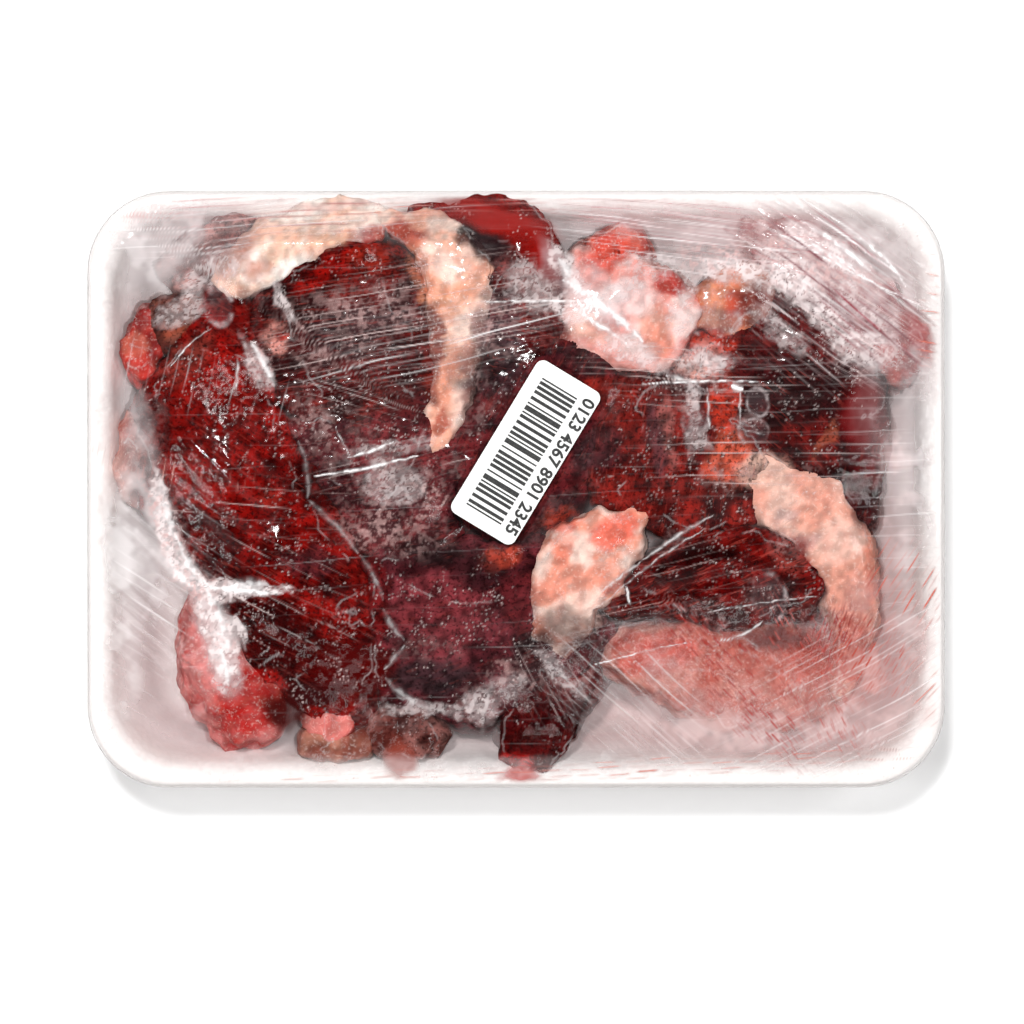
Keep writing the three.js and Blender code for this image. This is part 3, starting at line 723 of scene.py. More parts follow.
# Marks in and under the stretched film. Places, reaches and widths are in mm and turns in degrees.
white = "fbf8f8"
film["folds"] = [  # x, y, reach, turn, width, length, height: soft folds that catch the light, with a faint painted sheen on their ridges
    (-16, 40, 30, 12, 11, 1.8, 34, 0.14), (-34, 22, 14, 10, 14, 2.2, 30, 0.06),
    (80, 54, 26, 15, -34, 2.4, 40, 0.4), (10, 66, 90, 6, -2, 1.8, 40, 0.12),
    (80, -52, 32, 18, 28, 2.4, 60, 0.14), (22, -54, 28, 14, -42, 2.0, 30, 0.12),
    (-92, -24, 14, 44, -40, 2.6, 30, 0.16), (45, 28, 30, 10, -4, 2.2, 26, 0.1),
    (60, 4, 36, 12, 2, 2.6, 36, 0.08), (20, -8, 60, 40, 12, 4.5, 50, 0.05),
]
film["hairs"] = [  # x, y, reach, turn, spacing, length, width, strength, colour: fine lines, the white and pale ones painted highlights on fine wrinkles, the red ones juice
    (-26, 41, 34, 13, 10, 1.1, 34, 0.25, 0.75, "e8d0cc"), (-18, 36, 30, 8, 14, 2.0, 46, 0.3, 0.85, white),
    (-38, 21, 14, 5, -16, 1.8, 18, 0.22, 0.6, "e8d0cc"), (-60, 68, 42, 6, 2, 1.1, 30, 0.3, 0.7, "b65a5c"),
    (-58, 66, 42, 7, 5, 1.5, 34, 0.28, 0.8, white), (36, 67, 28, 4, -5, 1.2, 26, 0.28, 0.8, "a9686c"),
    (40, 62, 28, 6, -6, 2.0, 30, 0.28, 0.8, white), (80, 54, 24, 12, -34, 1.8, 34, 0.4, 0.95, white),
    (76, 44, 26, 12, -33, 1.3, 22, 0.28, 0.7, "f0d8d6"),
    (74, 56, 26, 8, -25, 2.0, 30, 0.3, 0.6, "c07a7c"), (44, 27, 26, 7, -2, 1.6, 24, 0.25, 0.6, "f0d8d4"),
    (58, 7, 26, 8, 1, 2.4, 30, 0.25, 0.5, "f0d8d4"), (92, 8, 12, 40, 3, 2.6, 26, 0.28, 0.4, white),
    (82, -50, 30, 16, 28, 1.7, 44, 0.3, 0.75, white), (34, -26, 26, 12, 14, 2.2, 26, 0.22, 0.4, "e0b4ae"),
    (26, -33, 16, 4, 12, 1.8, 30, 0.3, 0.6, white), (28, -50, 20, 12, -42, 1.6, 26, 0.28, 0.6, white),
    (8, -46, 10, 9, -60, 1.8, 22, 0.25, 0.5, "e8d0cc"),
    (-60, -6, 24, 8, -4, 3.6, 22, 0.25, 0.5, "e8c0ba"),
    (-52, -34, 22, 12, -30, 2.4, 16, 0.25, 0.35, "b04a42"),
    (-56, -26, 20, 10, -28, 4.5, 14, 0.25, 0.6, "f0dcd8"),
    (-28, 6, 18, 7, 14, 2.4, 20, 0.25, 0.5, "f0dcd8"), (-94, -34, 12, 30, -32, 2.6, 24, 0.3, 0.6, white),
    (-97, 30, 7, 40, 78, 3.0, 20, 0.3, 0.4, white), (98, -24, 8, 14, 58, 1.6, 8, 0.34, 1.3, "c4523f"),
    (102, 45, 3, 14, -8, 2.0, 12, 0.3, 1.1, "cf6f5c"), (101, -50, 5, 20, 40, 1.8, 10, 0.3, 1.0, "cc7a6c"),
    (-102, 8, 3, 40, 80, 1.8, 8, 0.3, 0.9, "cf8276"), (0, -70, 98, 2.6, 3, 1.4, 7, 0.34, 1.1, "c86c5c"),
    (0, 70.5, 98, 2.4, 2, 1.4, 14, 0.3, 0.8, "c47870"),
    (54, -47, 24, 8, -48, 0.8, 4, 0.36, 1.8, "a02a24"), (84, -41, 9, 12, 58, 0.8, 4, 0.35, 1.6, "b04436"),
    (72, -45, 22, 8, -60, 0.8, 3.6, 0.32, 1.5, "a8463e"),
    (76, -37, 10, 6, 75, 0.8, 4, 0.35, 1.6, "8c1410"), (0, 0, 103, 71, 3, 6, 40, 0.22, 0.12, white),
    (80, 47, 24, 12, -38, 2.4, 26, 0.55, 1.3, "6e2230"),
    (85, 41, 15, 7, -41, 1.9, 20, 0.5, 1.2, "8c2436"), (72, 38, 14, 10, -40, 2.0, 16, 0.4, 0.6, "f4e4e4"),
    (80, 57, 18, 9, -38, 1.8, 34, 0.4, 0.9, "a0686e"), (40, 60, 28, 7, -8, 1.0, 26, 0.25, 0.8, "f6ecec"),
    (50, 62, 40, 7, -9, 1.1, 30, 0.25, 0.6, "b87074"), (-64, 60, 26, 5, 8, 1.4, 28, 0.25, 0.5, "f2e2de"),
]
film["creases"] = [  # from x, y, to x, y, bend, width, strength: painted highlights, white strokes along the film's creases
    (69.6, 65.5, 86.5, 53, 0.5, 1.5, 0.95), (82, 62, 95, 49.5, 1.5, 1.1, 0.85),
    (60, 65, 102, 43.5, -1, 0.5, 0.8), (74, 58, 96, 44, 0.5, 0.5, 0.6), (66, 62, 82, 54, 0.5, 0.8, 0.6),
    (-9, 45, 18, 45.6, 0.3, 0.55, 0.8), (11, 51, 31, 35.5, 0.8, 2.6, 0.65), (14, 44, 27, 35, 0, 1.4, 0.8),
    (10.5, 56, 16, 48, 0, 2.5, 0.45), (30.4, 25.5, 60, 25.8, 0.4, 0.6, 0.85),
    (52, 25, 55, 24.2, 0, 1.5, 1.0), (36, 27.5, 44, 26, 0, 1.2, 0.5),
    (-41, 7.6, -29.6, 11.5, -0.3, 0.7, 0.85), (-49.5, 3, -23.3, 8.3, -0.6, 0.7, 0.85),
    (-44, 15.4, -40.2, 7.6, 0, 0.4, 0.7), (-68, 32.6, -68, 24, 0.3, 0.6, 0.5),
    (-64.5, 35.8, -58.6, 24.8, 0.3, 1.8, 0.55), (-84.3, 29.4, -73.8, 39.2, 1.0, 0.35, 0.75),
    (-86.3, 2.2, -82.1, -12.7, -0.5, 2.6, 0.5), (-82.1, -12.7, -75.7, -23.3, -0.5, 2.4, 0.55),
    (-76, -23.5, -56, -25.3, -0.3, 1.3, 0.95), (-71, -24.5, -60, -23, 0.6, 2.4, 0.5),
    (-75.7, -24, -70, -40, 1, 2.6, 0.55), (-72, -39, -70, -48, 0, 1.6, 0.55),
    (46.3, 24.8, 46.8, 14.5, 0, 0.45, 0.4), (54.2, 23.8, 54.4, 14.5, 0, 0.45, 0.4),
    (54.4, 14.5, 61, 13.2, 0, 0.4, 0.3), (20.6, -24.8, 30.4, -17.4, 0, 0.8, 0.4),
    (30.4, -17.4, 48, -6.4, 0.5, 0.8, 0.45), (22, -27, 46, -9.5, 0.8, 0.5, 0.4),
    (26.7, -23.5, 27.5, -28.4, 0, 0.6, 0.9), (60, -32, 48.8, -37, 1, 0.7, 0.5),
    (18, -43, 43, -37, 0.3, 0.35, 0.7), (46, -30, 74, -26, 0.4, 0.35, 0.6),
    (-53, 12, -50.5, -2.7, 1, 1.2, 0.15), (-50.5, -2.7, -38, -16, 0.8, 1.4, 0.2),
    (-38, -16, -32.4, -27.2, 0.8, 1.2, 0.2), (-32.4, -29, -27, -37, -0.5, 1.2, 0.2),
    (-27, -38, -32, -44, 0, 1.2, 0.25), (-32, -46, -20, -54, -1, 1.6, 0.25),
]
film["rings"] = [  # x, y, reach, turn, width, strength: air pockets, a grey fill and a painted highlight along the edge
    (48.5, 40.5, 6, 3.4, 5, 0.7, 0.5), (61.3, -26.2, 4, 6, 8, 0.8, 0.45), (57.5, 14, 3.6, 3, 0, 0.6, 0.5),
    (-72.5, 44.5, 3.4, 4.6, 15, 0.9, 0.5), (58.5, 21, 2.6, 3.4, 10, 0.6, 0.5),
    (43.5, 16.5, 3, 3.6, -20, 0.8, 0.5), (21.5, 40.7, 0.9, 0.9, 0, 0.35, 0.8),
    (25, 40.7, 1, 0.8, 0, 0.35, 0.8),
]
film["frost"] = [  # x, y, reach, turn, strength: grainy grey mist
    (-42, 41.5, 16, 7, 8, 0.6), (-46, 32.5, 9, 3, 10, 0.6), (-33, 45, 12, 5, 15, 0.4),
    (-4, 39, 6, 8, 0, 0.5), (-11, 22, 6, 10, 0, 0.35), (-10, 36, 5, 9, -20, 0.5),
    (-28.4, -2.7, 15, 9, 15, 0.7), (-42, 12, 10, 8, 0, 0.4), (-30, -13, 10, 4, -20, 0.5),
    (-48, 14, 4, 10, 20, 0.5), (11, 46, 6.5, 6, 0, 0.5), (26, 35.5, 11, 3.4, -25, 0.65),
    (46.5, 48.5, 5.5, 5, 0, 0.55), (60, 53.5, 20, 5, -8, 0.85), (72, 56, 16, 4.5, -28, 0.9),
    (82, 34, 8, 7, -40, 0.5), (90, 40, 8, 5, -30, 0.4), (56, 15.7, 4, 2.6, 0, 0.55),
    (67, 4.7, 8, 3.6, 0, 0.35), (38, 31, 5, 4, 0, 0.5), (40, 24, 6, 4, 0, 0.4),
    (-21, -39.5, 8, 3.4, 0, 0.35), (-28, -55.5, 12, 3, -3, 0.45), (-9, -51.7, 5, 6, 0, 0.55),
    (-2, -47, 6, 5, 0, 0.5), (1, -44.4, 8, 4, 10, 0.5), (12, -45, 8, 6, -30, 0.45),
    (17, -50, 5, 6, 0, 0.3), (-83.5, 61, 7, 6, 0, 0.35), (-87, 44, 7, 5, 0, 0.5),
    (-76, 50, 8, 6, 20, 0.4), (-90, 15, 4, 7, 0, 0.45), (-86, -3, 4.5, 15, 18, 0.55),
    (-80, -17, 4, 8, 25, 0.6), (42.6, -33.3, 10, 2.6, 5, 0.4), (58.6, -27.2, 5, 7, 0, 0.35),
    (49, -36, 6, 2.6, -5, 0.45), (35, -15, 14, 2.6, 33, 0.3), (-62.5, 30.5, 3.2, 5, 0, 0.9),
    (48, 31.8, 5, 2.2, 0, 0.9), (46, 26, 7, 2.4, -5, 0.6), (52, 2.5, 6, 3, 0, 0.6),
    (-87, -4, 3, 9, 15, 0.8), (-83, -15, 3.2, 7, 25, 0.8), (-75, -30, 3.6, 8, 25, 0.9),
    (-71.5, -42, 3.2, 8, 8, 0.9), (-76, -24, 8, 3, -5, 0.8), (3, 49, 7, 3, -30, 0.6),
    (66, -13, 5, 4, -20, 0.5), (43, 18, 3, 5, 0, 0.6),
]
film["matt"] = [  # x, y, reach, turn, strength: where the film shines less
    (-69, 26, 12, 11, 0, 0.9), (-35.5, 56, 7, 5, 0, 0.85), (-60, 14, 12, 9, -40, 0.6),
    (-28, -2, 14, 9, 20, 0.5),
]
film["crumpled"] = [  # x, y, reach, turn, strength: film gathered into a white crumple
    (-87, -2, 2.2, 8, 12, 0.7), (-84, -13, 2.4, 6, 25, 0.8), (-79, -21.5, 2.4, 5, 40, 0.9),
    (-72.5, -24.6, 6, 2.2, -4, 0.95), (-63, -25, 8, 1.4, 0, 0.9), (-74.5, -31, 2.4, 7, 18, 0.95),
    (-72, -39, 2.6, 6, 5, 0.95), (-69, -34, 1.6, 4.5, 20, 0.8), (-72, -46, 1.6, 3.6, 8, 0.8),
    (14, 52, 2.6, 9, 35, 0.7), (14, 44, 5, 3, 0, 0.7), (-57, 45, 1.8, 5, 35, 0.7),
    (24, 47, 8, 3, 20, 0.5), (-62.5, 30, 2.2, 7, 28, 0.5), (46, 31.5, 6, 3, 0, 0.6),
    (43.5, 20, 2, 6, 5, 0.5), (40, 44, 3, 8, -20, 0.5), (44.5, 12, 3, 4, 0, 0.4), (52, 53, 7, 4, -5, 0.6),
    (61, 52, 11, 4, -12, 0.65), (66, 55, 9, 3, -30, 0.6), (70, 47, 12, 3, -36, 0.65),
    (78, 38, 10, 3, -42, 0.65), (86, 33, 8, 4, -25, 0.6), (64, 39, 8, 3, -40, 0.4),
    (76, 57, 12, 2.4, -38, 0.8), (28, 33, 9, 3, -25, 0.6), (-75, 52, 8, 4, 25, 0.5),
    (-4, -49, 6, 3.4, 30, 0.3), (-9, -53, 3, 5, 10, 0.6), (12, -46, 9, 2, -38, 0.4),
    (-30, 10, 12, 2, 14, 0.3), (-22, -54, 10, 2, -5, 0.4), (84, 44, 10, 2.4, -35, 0.6),
    (3.5, 49, 7, 5, -30, 0.45), (33, 54, 8, 3, 0, 0.4), (-82, 44, 6, 4, 30, 0.4), (-30, 2, 8, 5, 10, 0.4),
]
film["blood"] = [  # x, y, reach, turn, strength, colour: dark juice between the pieces, right under the film
    (-6.5, 59.5, 5, 3, -30, 0.7, "241216"), (2, 60, 8, 3, -40, 0.5, "9a1410"),
    (64, -36.5, 9, 2.4, 0, 0.7, "4a1010"), (-5, 66, 14, 3.4, -14, 0.95, "8e120c"),
    (7, 57, 3, 7, 25, 0.8, "8e120c"), (97.5, 38, 3, 6.5, 20, 1.0, "941512"),
    (84, 18, 4.5, 9, 0, 1.0, "6c0f12"), (-28.5, -66, 3, 5, 0, 0.7, "9c4436"),
    (1, -70.2, 4.6, 2, 0, 0.8, "b83a34"), (-34, -60, 5, 3, 0, 0.4, "6c2c24"),
    (-41, -44, 9, 5, 0, 1.0, "4c0404"), (-56, -54, 5, 4.6, 0, 0.9, "3a0d0c"),
    (-50, -50, 6, 3, -20, 0.85, "34080a"), (-27, 20, 4, 7, 0, 0.4, "2a0c10"),
    (12, -34, 7, 5, 0, 0.5, "30080c"), (10, 52, 3, 6, 20, 0.5, "501010"),
]
film["haze"] = [  # x, y, reach, turn, strength, colour: smooth mist, the palest partly painted glare over the tray's shaded edges
    (94, 22, 10, 20, 0, 0.3, "e6d9da"), (65, -56.5, 34, 9, 3, 0.35, "e8c6c3"),
    (90, -37, 11, 16, 0, 0.5, "d49a96"), (48, 64.5, 30, 5.5, -4, 0.45, "e6cccc"),
    (88, 57, 14, 11, -30, 0.2, "f1e6e6"), (-72.5, 63.5, 15, 7, 20, 0.35, "d8c2c2"),
    (-94, -17, 9, 20, 0, 0.25, "f0ebeb"), (62, -46, 24, 7, 3, 0.3, "e0968a"),
    (-91, 2, 4, 22, 8, 0.6, "e9dfdf"), (93, 0, 5, 18, 0, 0.5, "dcb6b4"),
    (37, -45, 5, 8, 35, 0.5, "d8aaa6"), (80, 52, 17, 8, -30, 0.5, "f0dcdc"),
    (10, 54, 3, 8, 30, 0.3, "e2cccf"), (86, 38, 6, 6, -30, 0.2, "ecc8c8"),
    (66, -58, 30, 5, 3, 0.5, "e4c2bf"), (84, -48, 10, 6, 30, 0.5, "d8a09a"),
    (-86, 66, 14, 6, 3, 0.5, "efe4e4"), (-83, -16, 3.2, 14, 25, 0.6, "ece4e4"),
    (88, 60, 10, 8, -20, 0.3, "f0e8e8"), (-73, -36, 3.6, 13, 12, 0.7, "efe4e4"),
    (-90, 58, 11, 8, 0, 0.5, "f2eaea"), (20, 46, 5, 9, 30, 0.4, "eadfe2"),
    (0, -68, 96, 3, 0, 0.3, "f4efee"), (-97, -30, 5, 30, 0, 0.4, "f4efee"),
    (97, -5, 4, 40, 0, 0.4, "efe6e6"),
]


def within(points, amounts, fill):  # values from fill where there is an amount, and 0 elsewhere
    values = np.zeros(len(points))
    here = amounts > 0.001
    values[here] = fill(points[here]) * amounts[here]
    return values


def hairs(points, number, place, spacing, length, width):  # one line at most in each cell of a grid
    along, across = turned(points, *place[:2], place[4])
    row = np.floor(across / spacing).astype(int)
    part = along / length + 17 * cellRandom(row, number, 0)
    column = np.floor(part).astype(int)
    part = part - column
    chance = [cellRandom(row, column, number + n) for n in (3, 11, 23)]
    middle = 0.5 + 0.5 * (chance[0] - 0.5) + 0.5 * (chance[1] - 0.5) * (part - 0.5)
    off = abs(across / spacing - row - middle) * spacing
    return ease(off, width, 0) * ease(part, 0, 0.3) * ease(part, 1, 0.7) * (0.15 + 0.85 * chance[2] ** 3)


def ridges(points, number, place, width, length):
    along, across = turned(points, *place[:2], place[4])
    wave = noiseAt(np.stack([along / length, across / width, 0 * along + 5], 1) * mm, 1, number, 2)
    return np.clip(1 - abs(2 * wave - 1) * 2.4, 0, 1) ** 2


def stroke(points, x0, y0, x1, y1, bend, width):
    along, across = turned(points, (x0 + x1) / 2, (y0 + y1) / 2, math.degrees(math.atan2(y1 - y0, x1 - x0)))
    share = 2 * along / math.hypot(x1 - x0, y1 - y0)
    body = np.sqrt(np.clip(1 - share ** 2, 0, 1))
    off = abs(across - bend * (1 - share ** 2)) / (width * np.maximum(body, 0.05))
    return (0.35 * ease(off, 1, 0.2) + 0.65 * ease(off, 0.45, 0.1)) * (body > 0.1)


class Veil:  # layers of mist and marks, each laid over the ones before
    def __init__(self, count):
        self.cover = np.zeros(count)
        self.colour = np.zeros((count, 3))

    def lay(self, share, colour):
        share = np.clip(share, 0, 1)
        self.cover = self.cover * (1 - share) + share
        self.colour = self.colour * (1 - share)[:, None] + share[:, None] * linear(colour)

    def tint(self):
        return self.colour / np.maximum(self.cover, 1e-4)[:, None]


def filmVeil(points, edge, lift, borders, folds):
    veil = Veil(len(points))
    ragged = pushed(pushed(points, 2.0, 7, 60), 0.7, 2, 61)
    torn = pushed(ragged, 1.6, 2.4, 62)
    wavy = pushed(points, 0.9, 20, 50)
    shaky = pushed(points, 0.35, 1.6, 66)
    grain = ease(noiseAt(shaky, 1.1, 62, 2), 0.46, 0.66) + 0.5 * ease(cellsAt(shaky, 1.1, 12), 0.35, 0.15)
    cloud = ease(noiseAt(points, 5, 63, 3), 0.38, 0.66)
    broken = 0.35 + 0.85 * ease(noiseAt(points, 1.4, 65, 2), 0.35, 0.6)
    crevice = ease(lift, 0.25, 0.8) * ease(lift, 6, 2.5)
    free = ease(lift, 3, 14)
    # Milky film where it spans free over the tray, partly painted glare that lightens the tray's shaded
    # inside, paler near the rim
    veil.lay(free * (0.22 + 0.06 * cloud), "e9dada")
    veil.lay(crevice * cloud * (0.02 + 0.08 * grain), "b08886")
    veil.lay(free * ease(edge, 0.82, 0.97) * 0.12, "f3ebeb")
    for *place, strength, colour in film["blood"]:
        veil.lay(patch(ragged, place, 0.9) * strength * (0.8 + 0.2 * cloud), colour)
    # mist, and painted glare where the patches are palest
    for *place, strength, colour in film["haze"]:
        veil.lay(patch(ragged, place, 0.9) * strength * (0.3 + 0.5 * cloud), colour)
    for *place, strength in film["frost"]:
        share = patch(ragged, place, 0.9) * strength
        veil.lay(share * (0.04 + 0.1 * cloud), "86585a")
        veil.lay(share * strength * grain * (0.3 + 0.7 * cloud) * 0.8, "d0a6a2")
    lines = ease(abs(noiseAt(shaky * [1, 1.6, 1], 2.2, 73, 3) - 0.5), 0.0, 0.05)
    flakes = ease(noiseAt(shaky, 1.2, 74, 2), 0.44, 0.6)
    for *place, strength in film["crumpled"]:
        share = patch(torn, place, 0.6) * strength
        veil.lay(share * (0.08 + 0.3 * lines + 0.5 * lines * flakes), "f3e4e3")
    # Painted highlight: a faint white line where the film starts or stops touching the meat
    veil.lay(borders * 0.14 * ease(noiseAt(points, 4, 64, 2), 0.48, 0.6), white)
    for number, (*place, spacing, length, width, strength, colour) in enumerate(film["hairs"]):
        share = patch(points, place, 0.9) * strength
        lines = within(wavy, share, lambda near: hairs(near, number, place, spacing, length, width))
        veil.lay(lines, colour)
    for *place, width, strength in film["rings"]:
        x, y, reachX, reachY, turn = place
        along, across = turned(shaky, x, y, turn)
        off = abs(np.hypot(along / reachX, across / reachY) - 1) * min(reachX, reachY)
        part = ease(noiseAt(points, 3, 72, 2), 0.4, 0.6)
        veil.lay(patch(shaky, place, 0.3) * 0.08, "8c7478")
        # painted highlight along each air pocket's edge
        veil.lay(ease(off, width, 0) * strength * broken * part * 0.6, "ecdcdc")
    # Painted highlights along the creases
    for *line, strength in film["creases"]:
        veil.lay(stroke(shaky, *line) * strength * broken, white)
    # Painted sheen on the fold ridges
    veil.lay(folds * 0.06, white)
    # Painted glints: small bright dots where the film lies on the meat
    for number, (size, strength) in enumerate(film["paintedGlints"]):
        paintedGlints = ease(cellsAt(points, size, 30 + number), 0.32, 0.1)
        paintedGlints = paintedGlints * ease(noiseAt(points, 7, 67 + number, 2), 0.42, 0.62)
        paintedGlints = paintedGlints * ease(lift, 0.8, 0.3) * ease(noiseAt(points, 1.7, 69), 0.45, 0.8)
        veil.lay(paintedGlints * strength, "f6e0dc")
    return veil


def filmMaterial():
    shade = Shade("stretch_film")
    tint = shade.attribute("tint", "Color")
    fresnel = Term(shade, shade.node("ShaderNodeFresnel", None, {"IOR": film["bend"]}).outputs[0])
    clear = shade.surface("Transparent", {"Color": (1, 1, 1, 1)})
    gloss = shade.surface("Glossy", {"Color": (1, 1, 1, 1), "Roughness": film["rough"]})
    sockets = {"Base Color": tint, "Roughness": film["milkRough"], "Specular IOR Level": 0.0}
    milk = shade.surface("Principled", sockets)
    wet = fresnel * (1 - shade.attribute("matt"))
    return shade.finish(shade.mixed(wet, shade.mixed(shade.attribute("veil"), clear, milk), gloss))


def filmPlan():  # the places of the whole grid's corners: each square of the grid copies the rim, smaller
    columns, rows = film["cells"]
    u, v = np.meshgrid(np.linspace(-1, 1, columns + 1), np.linspace(-1, 1, rows + 1))
    size = np.maximum(abs(u), abs(v))
    edgeU, edgeV = (np.where(size > 0, part / np.maximum(size, 1e-9), -1) for part in (u, v))
    sides = 2 * (columns + rows)
    number = np.where(
        abs(edgeV + 1) < 1e-6, (edgeU + 1) / 2 * columns,
        np.where(abs(edgeU - 1) < 1e-6, columns + (edgeV + 1) / 2 * rows,
                 np.where(abs(edgeV - 1) < 1e-6, 2 * columns + rows - (edgeU + 1) / 2 * columns,
                          sides - (edgeV + 1) / 2 * rows)))
    x, y = outlineAt(film["edgeInset"], (number / sides).ravel())
    return x.reshape(size.shape) * size, y.reshape(size.shape) * size, size


def makeFilmTop():
    columns, rows = film["cells"]
    x, y, size = filmPlan()
    under = topOf([trayFoam, *meat], x, y)
    held = np.where(underLabel(x, y, 0.5 * mm), labelLow.z - 0.1 * mm, 0)
    height = drape(np.maximum(under + film["clearance"], held), 0.3 * mm)
    flat = np.stack([x.ravel(), y.ravel(), np.full(x.size, 0.1)], 1)
    free = (1 - ease(size.ravel(), 0.985, 1)) * np.where(underLabel(x, y, 1.5 * mm).ravel(), 0, 1)
    folds = np.zeros(x.size)
    rise = np.zeros(x.size)
    wavy = pushed(flat, 1.5, 24, 80)
    for number, (*place, width, length, tall) in enumerate(film["folds"]):
        share = patch(flat, place, 0.9)
        ridge = within(wavy, share, lambda near: ridges(near, number, place, width, length))
        folds = np.maximum(folds, ridge * min(1, tall * 2))
        rise += ridge * tall
    lift = (height - under) / mm
    touching = (lift < 0.2).astype(float)
    beside = ((1, 0), (-1, 0), (0, 1), (0, -1))
    borders = sum(abs(touching - np.roll(touching, (j, i), (0, 1))) for i, j in beside) / 2
    veil = filmVeil(flat, size.ravel(), lift.ravel(), np.clip(borders, 0, 1).ravel(), folds)
    height = height + (rise * free).reshape(height.shape) * mm
    surface = np.stack([x, y, height], 2)
    dimples = noiseAt(flat, film["dimpleSize"], 71, 2) - 0.5
    dimples = dimples * film["dimple"] * (free * ease(lift.ravel(), 6, 2))
    uneven = surface + [0, 0, 1] * dimples.reshape(*height.shape, 1)
    normals = np.cross(np.gradient(uneven, axis=1), np.gradient(uneven, axis=0))
    normals /= np.linalg.norm(normals, axis=2)[:, :, None]
    material = filmMaterial()
    tint = veil.tint().reshape(*x.shape, 3)
    cover = (veil.cover * (0.2 + 0.8 * free)).reshape(x.shape)
    matt = np.zeros(x.size)
    for *place, strength in film["matt"]:
        matt = np.maximum(matt, strength * patch(wavy, place, 0.9))
    matt = matt.reshape(x.shape)
    for part, (i, j) in enumerate(((0, 0), (1, 0), (0, 1), (1, 1))):
        bm = bmesh.new()
        bmesh.ops.create_grid(bm, x_segments=columns // 2, y_segments=rows // 2, size=1)
        mesh = meshFrom(bm, f"film_top_{part}")
        places = pointsOf(mesh)
        at = (np.rint((places[:, 1] + 1) / 4 * rows + j * rows / 2).astype(int),
              np.rint((places[:, 0] + 1) / 4 * columns + i * columns / 2).astype(int))
        setPoints(mesh, surface[at])
        keep(mesh, "veil", "FLOAT", "value", cover[at])
        keep(mesh, "matt", "FLOAT", "value", matt[at])
        keepColour(mesh, "tint", tint[at])
        piece = objectFrom(mesh.name, mesh, material)
        mesh.normals_split_custom_set_from_vertices(normals[at].tolist())
        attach(piece, "root")
        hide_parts("film_wrap")
    return material


filmMade = makeFilmTop()
print("film laid")


# The film down the outside of the tray and folded in under it
skirt = {
    "columns": 760, "across": 60,
    # inset and height of the film's way down and in under the tray, in mm from the rim and from the floor
    "section": [(1.0, 24.9), (0.25, 24.5), (-0.25, 23.6), (-0.35, 22.2), (-0.1, 21.4), (3.0, 19.2),
                (10.0, 3.9), (10.7, 2.0), (11.7, 0.7), (13.2, 0.3), (16, 0.25), (60, 0.2)],
    "pleat": 0.45,
}


def makeSkirt(material):
    columns, across = skirt["columns"], skirt["across"]
    bm = bmesh.new()
    bmesh.ops.create_grid(bm, x_segments=columns, y_segments=across, size=1)
    mesh = meshFrom(bm, "film_skirt")
    grid = (pointsOf(mesh)[:, :2] + 1) / 2
    insets, heights = np.array(skirt["section"]).T
    run = np.concatenate([[0], np.cumsum(np.hypot(np.diff(insets), np.diff(heights)))])
    rows = np.rint(grid[:, 1] * across).astype(int)
    points = np.empty((len(grid), 3))
    crease = np.zeros(len(grid))
    for row in range(across + 1):
        here = rows == row
        share = grid[here, 0]
        at = run[-1] * row / across
        inset, height = np.interp(at, run, insets), np.interp(at, run, heights)
        x, y = outlineAt(max(inset, 0.0) * mm, share)
        out = np.stack(outlineAt(0, share), 1) - np.stack(outlineAt(12 * mm, share), 1)
        out /= np.linalg.norm(out, axis=1)[:, None]
        angle = 2 * math.pi * share
        around = np.stack([np.cos(angle), np.sin(angle), 0 * share + at / 900], 1)
        wave = ease(noiseAt(around * 0.2, 3, 21, 2), 0.5, 0.7)
        down = ease(at, 3, 9)
        push = (0.12 - min(inset, 0) + skirt["pleat"] * wave * down) * (height > 0.6)
        points[here] = np.stack([x + out[:, 0] * push * mm, y + out[:, 1] * push * mm,
                                 (height + 0.2 * wave * (height < 0.6)) * mm], 1)
        crease[here] = wave * down
    setPoints(mesh, points)
    keep(mesh, "veil", "FLOAT", "value", 0.06 + 0.3 * crease)
    keepColour(mesh, "tint", np.tile(linear("f2eded"), (len(grid), 1)))
    bm = bmesh.new()
    bm.from_mesh(mesh)
    bmesh.ops.remove_doubles(bm, verts=bm.verts, dist=0.02 * mm)
    bmesh.ops.recalc_face_normals(bm, faces=bm.faces)
    bm.to_mesh(mesh)
    bm.free()
    piece = objectFrom("film_skirt", mesh, material)
    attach(piece, "root")
    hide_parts("film_wrap")


makeSkirt(filmMade)
print("skirt made")


# The paper label, with plain bars and a row of digits
label.update({
    "bars": 44, "barLength": 9.8 * mm, "barMiddle": 0.95 * mm, "barUnit": 0.42 * mm, "margin": 3.4 * mm,
    "digits": "0123 4567 8901 2345", "digitHeight": 3.0 * mm, "digitMiddle": -6.7 * mm, "bold": 0.03,
    "ink": 0.012 * mm, "paper": "f7f7f5", "inkColour": "060606",
})


def labelMaterial(name, colour, rough):
    shade = Shade(name)
    speck = shade.noise(0.35, detail=3)
    tone = shade.blend(speck.step(0.4, 0.7) * 0.08, hexColour(colour), hexColour("b8b4b2"))
    normal = shade.bump(speck, 0.03, 0.2)
    return shade.solid(tone, rough, normal)


def onLabel(mesh, height):
    turn = Matrix.Rotation(math.radians(label["turn"]), 4, "Z")
    mesh.transform(Matrix.Translation((labelMiddle.x, labelMiddle.y, height)) @ turn)


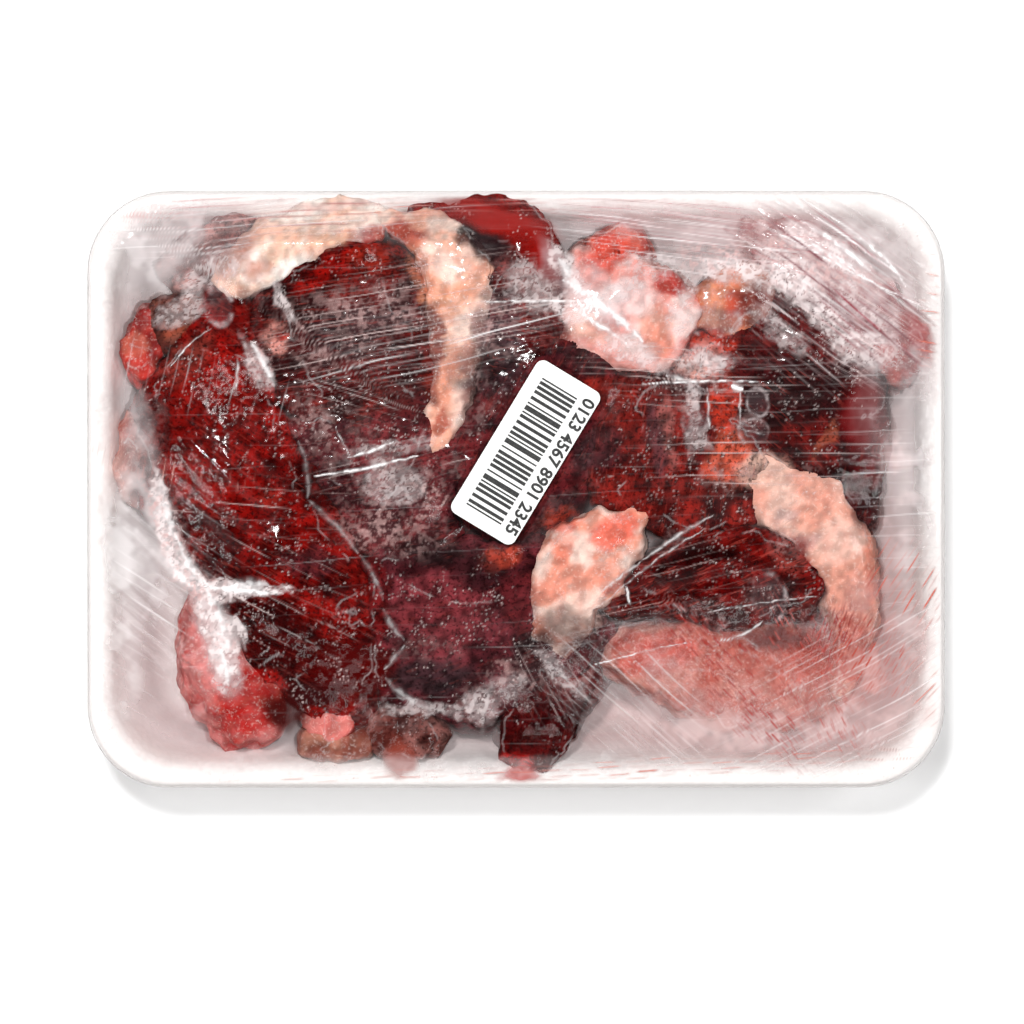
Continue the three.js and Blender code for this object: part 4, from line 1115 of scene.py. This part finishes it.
def makeLabel():
    bm = bmesh.new()
    bmesh.ops.create_grid(bm, x_segments=1, y_segments=1, size=0.5)
    bmesh.ops.scale(bm, vec=(label["length"], label["width"], 1), verts=bm.verts)
    bmesh.ops.bevel(bm, geom=list(bm.verts), offset=label["corner"], offset_type="OFFSET", segments=6,
                    profile=0.5, affect="VERTICES", material=-1)
    made = bmesh.ops.extrude_face_region(bm, geom=list(bm.faces))["geom"]
    raised = [item for item in made if isinstance(item, bmesh.types.BMVert)]
    bmesh.ops.translate(bm, vec=(0, 0, label["thickness"]), verts=raised)
    bmesh.ops.recalc_face_normals(bm, faces=bm.faces)
    mesh = meshFrom(bm, "label_paper")
    onLabel(mesh, labelLow.z)
    paper = objectFrom("label_paper", mesh, labelMaterial("label_paper", label["paper"], 0.42), False)
    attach(paper, "root")
    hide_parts("label")

    bm = bmesh.new()
    along = -label["length"] / 2 + label["margin"]
    for number in range(label["bars"]):
        width = (1 + (5 * number * number + 3 * number) % 7 % 4) * label["barUnit"]
        space = (1 + (3 * number * number + number) % 5 % 3 % 2) * label["barUnit"]
        if along + width > label["length"] / 2 - label["margin"]:
            break
        bar = bmesh.ops.create_cube(bm, size=1)["verts"]
        bmesh.ops.scale(bm, vec=(width, label["barLength"], label["ink"]), verts=bar)
        bmesh.ops.translate(bm, vec=(along + width / 2, label["barMiddle"], 0), verts=bar)
        along += width + space
    mesh = meshFrom(bm, "label_bars")
    onLabel(mesh, labelLow.z + label["thickness"] + label["ink"] / 2)
    ink = labelMaterial("label_ink", label["inkColour"], 0.6)
    bars = objectFrom("label_bars", mesh, ink, False)

    text = bpy.data.curves.new("digits", "FONT")
    text.body = label["digits"]
    text.size = label["digitHeight"] / 0.7
    text.align_x = "CENTER"
    text.align_y = "CENTER"
    text.extrude = label["ink"] / 2
    text.resolution_u = 3
    text.offset = label["bold"] * text.size
    holder = bpy.data.objects.new("digits", text)
    bpy.context.scene.collection.objects.link(holder)
    bpy.context.view_layer.update()
    mesh = bpy.data.meshes.new_from_object(holder.evaluated_get(bpy.context.evaluated_depsgraph_get()))
    bpy.data.objects.remove(holder)
    mesh.transform(Matrix.Translation((0, label["digitMiddle"], 0)) @ Matrix.Rotation(math.pi, 4, "Z"))
    onLabel(mesh, labelLow.z + label["thickness"] + label["ink"] / 2)
    digits = objectFrom("label_digits", mesh, ink, False)
    for piece in (bars, digits):
        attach(piece, "root")


makeLabel()
print("label made")
